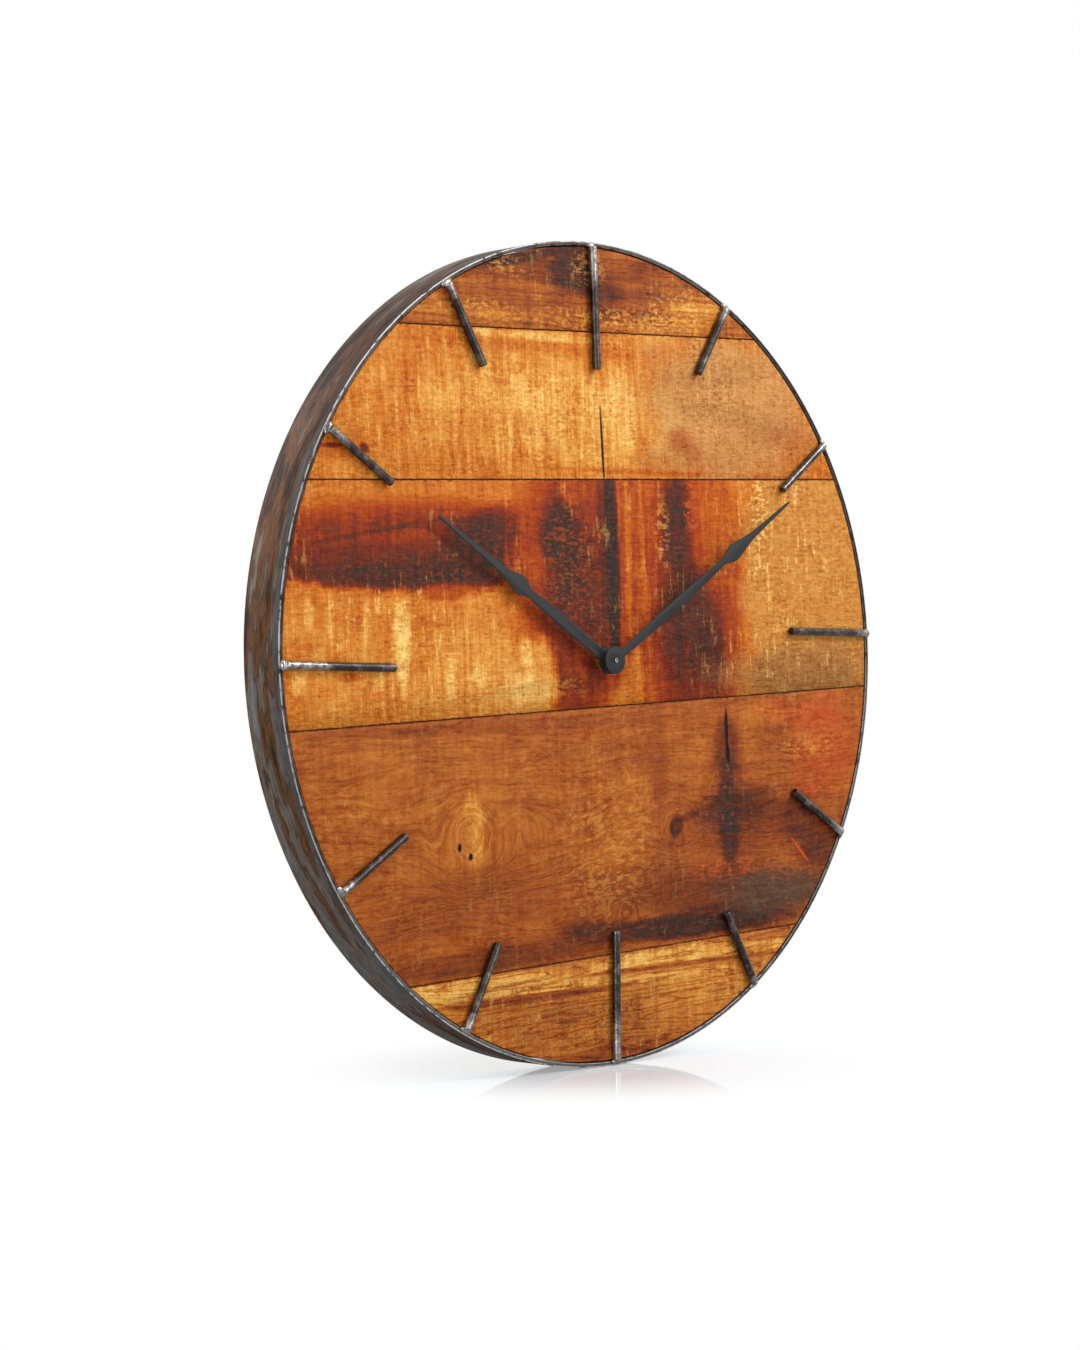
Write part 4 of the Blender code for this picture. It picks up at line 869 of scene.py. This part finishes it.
# %% [markdown]
# ## The hoop
# A flat bar bent to a circle is a rule: one profile carried around one path. Geometry Nodes draw the
# path as a curve circle and the profile as a rectangle whose corners are filleted to the arris of a
# rolled bar, sweep one along the other, and push the surface in and out by a tenth of a millimetre,
# as bending rolls leave it. The sizes are named inputs, so another hoop takes a minute.

# %% Growing pieces from a node tree
def new_rule(name, inputs):
    """A Geometry Nodes tree, what adds nodes to it, and its named inputs. Three numbers are a vector."""
    rule = bpy.data.node_groups.new(name, "GeometryNodeTree")
    rule.interface.new_socket("Geometry", in_out="OUTPUT", socket_type="NodeSocketGeometry")
    for label, value in inputs.items():
        kind = "NodeSocketVector" if isinstance(value, tuple) else "NodeSocketFloat"
        rule.interface.new_socket(label, in_out="INPUT", socket_type=kind).default_value = value
    return rule, partial(add, rule), add(rule, "NodeGroupInput").outputs


def finish_rule(node, geometry, finish):
    """Ends a tree in realized instances with one material."""
    solid = node("RealizeInstances", {"Geometry": geometry})
    node("NodeGroupOutput", [node("SetMaterial", {"Geometry": solid, "Material": finish})])


def grow(name, rule, values):
    """A plain mesh object from a tree, with these values for its named inputs."""
    maker = mesh_piece(name, bpy.data.meshes.new(f"{name}_maker"))
    modifier = maker.modifiers.new("rule", "NODES")
    modifier.node_group = rule
    for item in rule.interface.items_tree:
        if item.in_out == "INPUT" and item.name in values:
            modifier[item.identifier] = values[item.name]
    mesh = bpy.data.meshes.new_from_object(maker.evaluated_get(bpy.context.evaluated_depsgraph_get()))
    maker.modifiers.clear()
    maker.data = mesh
    return maker


print("rules can be grown into pieces now")

# %% Hoop
hoop_low, hoop_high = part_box("hoop")
rule, node, given = new_rule("bent_flat_bar", {
    "Radius": 0.2985, "Wall": wall, "Depth": 0.038, "Arris": 0.0006, "Waviness": 0.0002, "Offset": (0, 0, 0),
})
ring = node("CurvePrimitiveCircle", {"Resolution": 480, "Radius": given["Radius"]})
section = node("CurvePrimitiveQuadrilateral", {"Width": given["Wall"], "Height": given["Depth"]})
rounded = node("FilletCurve", {"Curve": section, "Count": 3, "Radius": given["Arris"]}, mode="POLY")
swept = node("CurveToMesh", {"Curve": ring, "Profile Curve": rounded})
wave = node("TexNoise", {"Scale": 38.0, "Detail": 2.0})
centred = node("VectorMath SUBTRACT", [wave.outputs["Color"], (0.5, 0.5, 0.5)])
shift = node("VectorMath SCALE", [centred, given["Waviness"]])
waved = node("SetPosition", {"Geometry": swept, "Offset": shift})
placed = node("Transform", {"Geometry": waved, "Translation": given["Offset"], "Rotation": (math.pi / 2, 0, 0)})
finish_rule(node, placed, steel_bar)
hoop_piece = grow("hoop_dressed", rule, {
    "Radius": hoop_high.x - wall / 2, "Wall": wall, "Depth": hoop_high.y - hoop_low.y,
    "Offset": (0, (hoop_low.y + hoop_high.y) / 2, 0),
})
settle(hoop_piece, "clock_case", "patinated_steel", "hoop")
print("hoop:", [round(d * 1000, 1) for d in hoop_piece.dimensions], "mm in x, y and z")

# %% [markdown]
# ## Blackened bars and ground welds
# The hour bars are 6 mm round bar with the dark scale of the forge still on. Each was welded to the
# hoop's front edge and the weld ground flush, so the last stretch of the bar is bright, with dark pits.
# The bar and the weld's mound start as separate closed shapes from one node tree. A voxel remesh then
# melts them into one skin, and smoothing pulls the fillet that a weld pool leaves. How far each bar was
# ground is stored on its points, so one material serves all twelve.

# %% Blackened steel
def blackened_steel():
    """Round bar with dark mill scale, bright where the attribute 'ground' says that it was ground."""
    finish, node, coat, place_mm = new_finish("blackened_mild_steel")
    part = patterns(node, place_mm, {"scale": ((9, 9, 9), 5, 0.65), "pits": ((1.6, 1.6, 1.6), 3, 0.6),
                                     "scuffs": ((6, 6, 6), 4, 0.65)})
    steel = node("ValToRGB", [part["scale"]], ((0.34, "#211b18"), (0.50, "#352c28"), (0.64, "#6a615b")))
    ground = node("Attribute", attribute_name="ground", attribute_type="GEOMETRY").outputs["Fac"]
    bright = node("Math MULTIPLY_ADD", [part["scuffs"], 2.6, -1.3])
    bright = node("Math ADD", [ground, bright])
    bright = node("MapRange SMOOTHSTEP", [bright, 0.45, 0.85])
    metal = node("ValToRGB", [part["scuffs"]], ((0.38, "#b9b5b0"), (0.52, "#8b857f"), (0.62, "#5f5852")))
    steel = node("Mix RGBA", [bright, steel, metal])
    pitted = node("MapRange SMOOTHSTEP", [part["pits"], 0.60, 0.68, 0.0, 0.6])
    steel = node("Mix RGBA", [pitted, steel, "#2c2521"])
    rough = node("Math MULTIPLY_ADD", [part["scale"], 0.3, 0.14])
    relief = node("Math MULTIPLY_ADD", [part["scale"], 0.7, part["pits"]])
    coat({"Base Color": steel, "Roughness": rough, "Metallic": 0.85, "Coat Weight": 0.5, "Coat Roughness": 0.15,
          "Normal": node("Bump", {"Height": relief, "Distance": 0.00016, "Strength": 0.7})})
    return finish


black_steel = blackened_steel()
print("bar steel has", len(black_steel.node_tree.nodes), "nodes")

# %% A rule for one welded bar
rule, node, given = new_rule("welded_bar", {
    "Outer end": (0, 0, 0), "Inner end": (0, 0, 0), "Radius": 0.003,
    "Weld place": (0, 0, 0), "Weld size": (1, 1, 1), "Weld turn": (0, 0, 0),
})
line = node("CurvePrimitiveLine", {"Start": given["Outer end"], "End": given["Inner end"]})
round_section = node("CurvePrimitiveCircle", {"Resolution": 28, "Radius": given["Radius"]})
rod = node("CurveToMesh", {"Curve": line, "Profile Curve": round_section, "Fill Caps": True})
bead = node("MeshUVSphere", {"Segments": 24, "Rings": 12, "Radius": 1.0})
mound = node("Transform", {"Geometry": bead, "Translation": given["Weld place"], "Rotation": given["Weld turn"],
                           "Scale": given["Weld size"]})
joined = node("JoinGeometry", {"Geometry": rod})
# The joining node takes any number of shapes on one socket
feed(rule, joined, {"Geometry": mound})
finish_rule(node, joined, black_steel)
print("one bar has", len(rule.nodes), "nodes in its rule")

# %% Sizes of the bars
quarter_length, hour_length = 0.0924, 0.0637
# The remesh takes as much off a bar as is added here
bar_radius, remesh_loss = 0.003, 0.0001
bar_end_radius = 0.2964
bar_axis = front_y - 0.0023
# The weld's mound: its middle, its half size around the hoop, and those in depth and along the bar
weld_radius, weld_y = 0.2974, front_y - 0.0008
quarter_weld, hour_weld = 0.0042, 0.0054
weld_height, weld_along = 0.0021, 0.0022
bar_turns = (29.1, 58.0, 88.5, 120.1, 149.9, 180.5, 210.0, 239.2, 270.2, 302.2, 331.8, 0.5)
bar_leans = (-4.8, 3.2, -3.9, -2.8, -2.9, -1.8, 0.5, -0.5, -2.7, -2.3, 0.3, 0.4)
bar_shares = (0.963, 0.977, 0.988, 1.019, 1.003, 1.018, 1.020, 1.030, 1.023, 0.992, 0.998, 0.970)
# How far from the rim each bar was ground, in mm
ground_reach = (12, 9, 17, 14, 10, 30, 14, 12, 38, 16, 12, 26)


def around(radius, degrees, depth=0.0):
    """A point at this radius, clockwise from 12, at this y."""
    turn = math.radians(degrees)
    return Vector((radius * math.sin(turn), depth, radius * math.cos(turn)))


def melted(piece, voxel_mm, rounds):
    """Adds the modifiers that fuse overlapping shapes to one skin and smooth it."""
    skin = piece.modifiers.new("one_skin", "REMESH")
    skin.mode = "VOXEL"
    skin.voxel_size = voxel_mm / 1000
    soft = piece.modifiers.new("fillets", "SMOOTH")
    soft.factor = 0.5
    soft.iterations = rounds


print("bars start", round(bar_end_radius * 1000, 1), "mm from the middle")

# %% Hour bars
for hour in range(1, 13):
    turn = bar_turns[hour - 1]
    length, weld = (quarter_length, quarter_weld) if hour % 3 == 0 else (hour_length, hour_weld)
    length *= bar_shares[hour - 1]
    outer = around(bar_end_radius, turn, bar_axis)
    inner = outer + around(length, turn + 180 - bar_leans[hour - 1])
    bar = grow(f"hour_bar_{hour}_dressed", rule, {
        "Outer end": outer, "Inner end": inner, "Radius": bar_radius + remesh_loss,
        "Weld place": around(weld_radius, turn, weld_y), "Weld size": (weld, weld_height, weld_along),
        "Weld turn": (0, math.radians(turn), 0),
    })
    melted(bar, 0.45, 5)
    settle(bar, "clock_case", "blackened_steel", f"hour_bar_{hour}", crease=60, finish=black_steel)
    spots = np.empty(len(bar.data.vertices) * 3, np.float32)
    bar.data.vertices.foreach_get("co", spots)
    reach_mm = bar_end_radius * 1000 - np.hypot(spots[0::3], spots[2::3]) * 1000
    ground = np.clip(0.5 + (ground_reach[hour - 1] - reach_mm) / 16, 0, 1)
    bar.data.attributes.new("ground", "FLOAT", "POINT").data.foreach_set("value", ground.astype(np.float32))
print("bar 12 has", len(bar.data.polygons), "faces")

# %% [markdown]
# ## Hands
# The hands are stamped from 0.8 mm steel sheet and painted matt slate black. The measured outline stays,
# and the edges are eased by an eighth of a millimetre, as stamping and paint leave them.

# %% Hands
def black_paint():
    """Matt slate black enamel on sheet."""
    finish, node, coat, place_mm = new_finish("matt_black_enamel")
    part = patterns(node, place_mm, {"grain": ((0.8, 0.8, 0.8), 3, 0.6), "cloud": ((22, 22, 22), 3, 0.5)})
    paint = node("ValToRGB", [part["cloud"]], ((0.35, "#1f2121"), (0.65, "#282a2a")))
    dull = node("MapRange", [part["cloud"], 0.3, 0.7, 0.50, 0.62])
    coat({"Base Color": paint, "Roughness": dull, "Specular IOR Level": 0.25,
          "Normal": node("Bump", {"Height": part["grain"], "Distance": 0.00003, "Strength": 0.6})})
    return finish


hand_paint = black_paint()
for hand in ("hour_hand", "minute_hand"):
    eased(hand, 0.12, hand_paint, "black_paint")
print("hands dressed")

# %% [markdown]
# ## Small metals and plastics
# The movement is a bought part: black styrene shell, natural white acetal wheels, bright zinc and turned
# brass, a lacquered copper winding and a green laminate board. Each is one short recipe. Metals differ
# by tint, by roughness and by the direction of their fine lines. Lines left by a tool are hundredths of
# a millimetre apart, and are drawn a quarter of a millimetre apart so that a close look finds them.

# %% Small finishes
# name: (light, dark, size of the lines or grain in mm along x, y and z, relief in mm, roughness)
small_metals = {
    "zinc_plated_steel": ("#c9cccd", "#a9adb0", (2.0, 0.3, 2.0), 0.02, 0.32),
    "turned_brass": ("#d9b56a", "#b98f45", (3.0, 0.25, 3.0), 0.02, 0.28),
    "turned_steel": ("#d0d0d0", "#8f8f90", (3.0, 0.25, 3.0), 0.02, 0.25),
    "lacquered_copper_wire": ("#c2704a", "#8a3f24", (0.25, 4.0, 4.0), 0.02, 0.30),
}
small_plastics = {
    "moulded_black_styrene": ("#26272a", "#1d1e20", (0.5, 0.5, 0.5), 0.04, 0.42),
    "natural_acetal": ("#e4e1d8", "#d6d2c6", (0.9, 0.9, 0.9), 0.02, 0.38),
    "black_rubber": ("#1c1c1d", "#141415", (0.7, 0.7, 0.7), 0.05, 0.78),
    "glass_laminate": ("#2f7a46", "#1f5f36", (1.2, 1.2, 1.2), 0.03, 0.35),
}


def small_finish(name, light, dark, size, relief_mm, roughness):
    """A bright metal with fine tool lines, or a moulded surface with fine spark texture."""
    finish, node, coat, place_mm = new_finish(name)
    metal = name in small_metals
    cloud_mm, spread, detail, strength = (9, 0.15, 4, 0.5) if metal else (14, 0.20, 3, 0.6)
    part = patterns(node, place_mm, {"fine": (size, detail, 0.6), "cloud": ((cloud_mm,) * 3, 3, 0.5)})
    tint = node("ValToRGB", [part["cloud"]], ((0.5 - spread, dark), (0.5 + spread, light)))
    gloss = node("Math MULTIPLY_ADD", [part["fine"], 0.2, roughness - 0.1])
    coat({"Base Color": tint, "Roughness": gloss, "Metallic": float(metal),
          "Normal": node("Bump", {"Height": part["fine"], "Distance": relief_mm / 1000, "Strength": strength})})
    return finish


small = {name: small_finish(name, *row) for name, row in (small_metals | small_plastics).items()}
zinc, brass, shaft_steel, copper, black_plastic, acetal, rubber, laminate = small.values()
print("small finishes:", ", ".join(small))

# %% [markdown]
# ## Plywood
# The planks are glued to 6 mm birch plywood. From behind one sees the pale face veneer with its long
# lazy figure; the edge shows five plies, light and dark in turn, which depth alone decides.

# %% Plywood
def birch_plywood(low_y, high_y):
    """Raw birch plywood whose plies lie across the depth."""
    finish, node, coat, place_mm = new_finish("raw_birch_plywood")
    wander = patterns(node, place_mm, {"wander": ((160, 60, 70), 2, 0.5)})["wander"]
    upward = node("CombineXYZ", [0.0, 0.0, node("Math MULTIPLY", [wander, 60.0])])
    bent = node("VectorMath ADD", [place_mm, upward])
    veneer = patterns(node, bent, {"figure": ((240, 30, 11), 4, 0.58), "fibre": ((24, 1.6, 1.6), 4, 0.58),
                                   "pores": ((7, 2, 2.2), 4, 0.58)})
    face = node("ValToRGB", [veneer["figure"]], ((0.35, "#cfae7e"), (0.65, "#dfc498")))
    lined = node("MapRange SMOOTHSTEP", [veneer["fibre"], 0.50, 0.66, 0.0, 0.55])
    face = node("Mix RGBA", [lined, face, "#b08a59"])
    flecked = node("MapRange SMOOTHSTEP", [veneer["pores"], 0.60, 0.70, 0.0, 0.6])
    face = node("Mix RGBA", [flecked, face, "#96703f"])

    # Five plies in the board's thickness
    plies = 5
    split = node("SeparateXYZ", [place_mm])
    into = node("MapRange", [split.outputs["Y"], low_y * 1000, high_y * 1000, 0.0, plies / 2])
    ply = node("Math PINGPONG", [into, 0.5])
    edges = node("ValToRGB", [ply], ((0.22, "#8c6238"), (0.30, "#cfae7c")))
    facing = node("SeparateXYZ", [node("NewGeometry").outputs["Normal"]])
    level = node("Math ABSOLUTE", [facing.outputs["Y"]])
    edge = node("MapRange", [level, 0.3, 0.6, 1.0, 0.0])
    wood = node("Mix RGBA", [edge, face, edges])
    dull = node("Math MULTIPLY_ADD", [veneer["fibre"], 0.2, 0.58])
    coat({"Base Color": wood, "Roughness": dull,
          "Normal": node("Bump", {"Height": veneer["fibre"], "Distance": 0.0001, "Strength": 0.6})})
    return finish


board_low, board_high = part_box("backer_board")
plywood = birch_plywood(board_low.y, board_high.y)
eased("backer_board", 0.25, plywood, "plywood")
print(f"the board is {(board_high.y - board_low.y) * 1000:.0f} mm thick")

# %% [markdown]
# ## Ironwork at the back
# Four tabs and the keyhole plate are welded inside the hoop. They are cut from 3 mm strip and blackened
# like the bars. A weld bead is a row of overlapping drops: Geometry Nodes set a drop on each point of
# the line where plate and hoop meet, and the remesh melts the drops together.

# %% Tabs, hanger and screws
plate_steel = black_steel.copy()
plate_steel.name = "blackened_strip"
for plate in [*(f"fixing_tab_{number}" for number in range(1, 5)), "wall_hanger"]:
    eased(plate, 0.3, plate_steel, "blackened_steel")
for number in range(1, 5):
    eased(f"tab_screw_{number}", 0.12, zinc, "steel")
print("tabs, hanger and screws eased")

# %% Weld beads
rule, node, given = new_rule("weld_bead", {"From": (0, 0, 0), "To": (0, 0, 0), "Spacing": 0.0012,
                                           "Drop size": 0.0016})
line = node("CurvePrimitiveLine", {"Start": given["From"], "End": given["To"]})
spots = node("CurveToPoints", {"Curve": line, "Length": given["Spacing"]}, mode="LENGTH")
drop = node("MeshIcoSphere", {"Radius": given["Drop size"], "Subdivisions": 2})
wobble = node("RandomValue FLOAT", {"Min": 0.85, "Max": 1.15, "Seed": 7})
finish_rule(node, node("InstanceOnPoints", {"Points": spots, "Instance": drop, "Scale": wobble}), plate_steel)


def weld_line(name, start, end):
    """A bead from one point to another, on the clock's case."""
    bead = grow(name, rule, {"From": start, "To": end})
    melted(bead, 0.35, 2)
    settle(bead, "clock_case", "blackened_steel", crease=70, finish=plate_steel)


# Half widths of a plate where it meets the hoop and of its bead, and how far in the bead lies
tab_half, tab_bead, hanger_half, hanger_bead = 0.0125, 0.011, 0.020, 0.0185
inner_radius, inset = hoop_radius - wall, 0.0006
for number in range(1, 5):
    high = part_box(f"fixing_tab_{number}")[1]
    turn = 90 * number - 45
    across = around(tab_bead, turn + 90)
    foot = around(math.sqrt(inner_radius ** 2 - tab_half ** 2) - inset, turn, high.y)
    weld_line(f"tab_weld_{number}", foot - across, foot + across)
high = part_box("wall_hanger")[1]
top = math.sqrt(inner_radius ** 2 - hanger_half ** 2) - inset
weld_line("hanger_weld", Vector((-hanger_bead, high.y, top)), Vector((hanger_bead, high.y, top)))
print("weld beads laid")

# %% [markdown]
# ## The movement
# The shell, its cover and the knob are eased copies. What is inside keeps the measured shapes, since
# gear teeth need no more, and takes the metal or plastic of its kind.

# %% Movement shells
for shell in ("movement_housing", "rear_cover"):
    eased(shell, 0.15, black_plastic, "black_plastic")
eased("setting_knob", 0.1, acetal, "acetal")
eased("hex_nut", 0.15, brass, "brass")
eased("brass_washer", 0.08, brass, "brass")
print("movement shells eased")

# %% [markdown]
# ## The battery
# An AA cell is a drawn steel can in a plain shrink sleeve. It is turned from one profile, with the small
# step of the can's end, the sleeve's rolled edges and the raised button.

# %% Battery sleeve
def battery_sleeve(low_x, high_x):
    """A steel can in a plain dark blue shrink sleeve that leaves both ends bare."""
    finish, node, coat, place_mm = new_finish("shrink_sleeve_and_steel")
    split = node("SeparateXYZ", [place_mm])
    left = node("MapRange", [split.outputs["X"], low_x * 1000 + 0.55, low_x * 1000 + 0.75])
    right = node("MapRange", [split.outputs["X"], high_x * 1000 - 1.65, high_x * 1000 - 1.85])
    sleeve = node("Math MULTIPLY", [left, right])
    fine = patterns(node, place_mm, {"fine": ((6, 0.5, 0.5), 3, 0.6)})["fine"]
    blue = node("ValToRGB", [fine], ((0.0, "#22324c"), (1.0, "#2b3d5b")))
    coat({"Base Color": node("Mix RGBA", [sleeve, "#b9bcbe", blue]),
          "Metallic": node("Math SUBTRACT", [1.0, sleeve]),
          "Roughness": node("Math MULTIPLY_ADD", [fine, 0.12, 0.24]),
          "Normal": node("Bump", {"Height": fine, "Distance": 0.00002, "Strength": 0.5})})
    return finish


battery_low, battery_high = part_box("battery")
cell_finish = battery_sleeve(battery_low.x, battery_high.x)
print(f"the cell is {(battery_high.x - battery_low.x) * 1000:.1f} mm long")

# %% Battery
def turned_body(name, profile, sides, finish):
    """A body turned about the x axis from (x, radius) points that start and end on the axis."""
    bm = bmesh.new()
    rings = []
    for x, radius in profile:
        count = sides if radius else 1
        spokes = [math.tau * side / sides for side in range(count)]
        rings.append([bm.verts.new((x, radius * math.cos(t), radius * math.sin(t))) for t in spokes])
    for near, far in zip(rings, rings[1:]):
        for side in range(sides):
            after = (side + 1) % sides
            corners = [ring[step % len(ring)] for ring, step in ((near, side), (near, after), (far, after),
                                                                 (far, side))]
            # An end ring is one point, which a face takes only once
            bm.faces.new(list(dict.fromkeys(corners)))
    bmesh.ops.recalc_face_normals(bm, faces=bm.faces)
    mesh = bpy.data.meshes.new(name)
    bm.to_mesh(mesh)
    bm.free()
    return mesh_piece(name, mesh, finish)


start, end = battery_low.x, battery_high.x
radius = (battery_high.z - battery_low.z) / 2
profile = [
    (start, 0), (start, 0.0042), (start + 0.0003, 0.0046), (start + 0.0003, 0.0060), (start, 0.0064),
    (start, radius - 0.0005), (start + 0.0002, radius - 0.0001), (start + 0.0006, radius),
    (end - 0.0022, radius), (end - 0.0017, radius - 0.0001), (end - 0.0014, radius - 0.0005),
    (end - 0.0014, radius - 0.0012), (end - 0.0017, radius - 0.0016), (end - 0.0017, 0.0042),
    (end - 0.0011, 0.0031), (end - 0.0009, 0.0027), (end - 0.0002, 0.0027), (end, 0.0024), (end, 0),
]
cell = turned_body("battery_dressed", profile, 64, cell_finish)
middle = (battery_low + battery_high) / 2
cell.data.transform(Matrix.Translation((0, middle.y, middle.z)))
settle(cell, "cell", "battery_sleeve", "battery")
print("battery:", [round(d * 1000, 1) for d in cell.dimensions], "mm")

# %% Finishes of the measured pieces that stay
kept = {
    zinc: ("stator", "quartz_crystal", "battery_contact_plus", "battery_contact_minus", "rotor",
           "seconds_wheel"),
    shaft_steel: ("minute_shaft",),
    brass: ("hour_wheel", "centre_wheel", "threaded_bushing"),
    copper: ("coil",), laminate: ("circuit_board",), rubber: ("rubber_washer",),
    acetal: ("minute_wheel", "intermediate_wheel", "third_wheel", "middle_plate"),
}
for finish, members in kept.items():
    for member in members:
        for slot in nodes[member].material_slots:
            slot.material = finish
dressed = [member for members in kept.values() for member in members]
left_over = [name for name, thing in nodes.items() if not thing.hide_render and name not in dressed]
print("pieces without a finish of their own:", left_over)

# %% [markdown]
# ## Sizes
# Both boxes, the measured one and the dressed one, are printed side by side.

# %% Print both boxes
dressed_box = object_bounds()


def plain(box):
    """A box as plain lists of numbers."""
    return [[float(number) for number in corner] for corner in box]


{"cad": plain(frame_box), "visual": plain(dressed_box)}
print("measured", plain(frame_box), "dressed", plain(dressed_box))
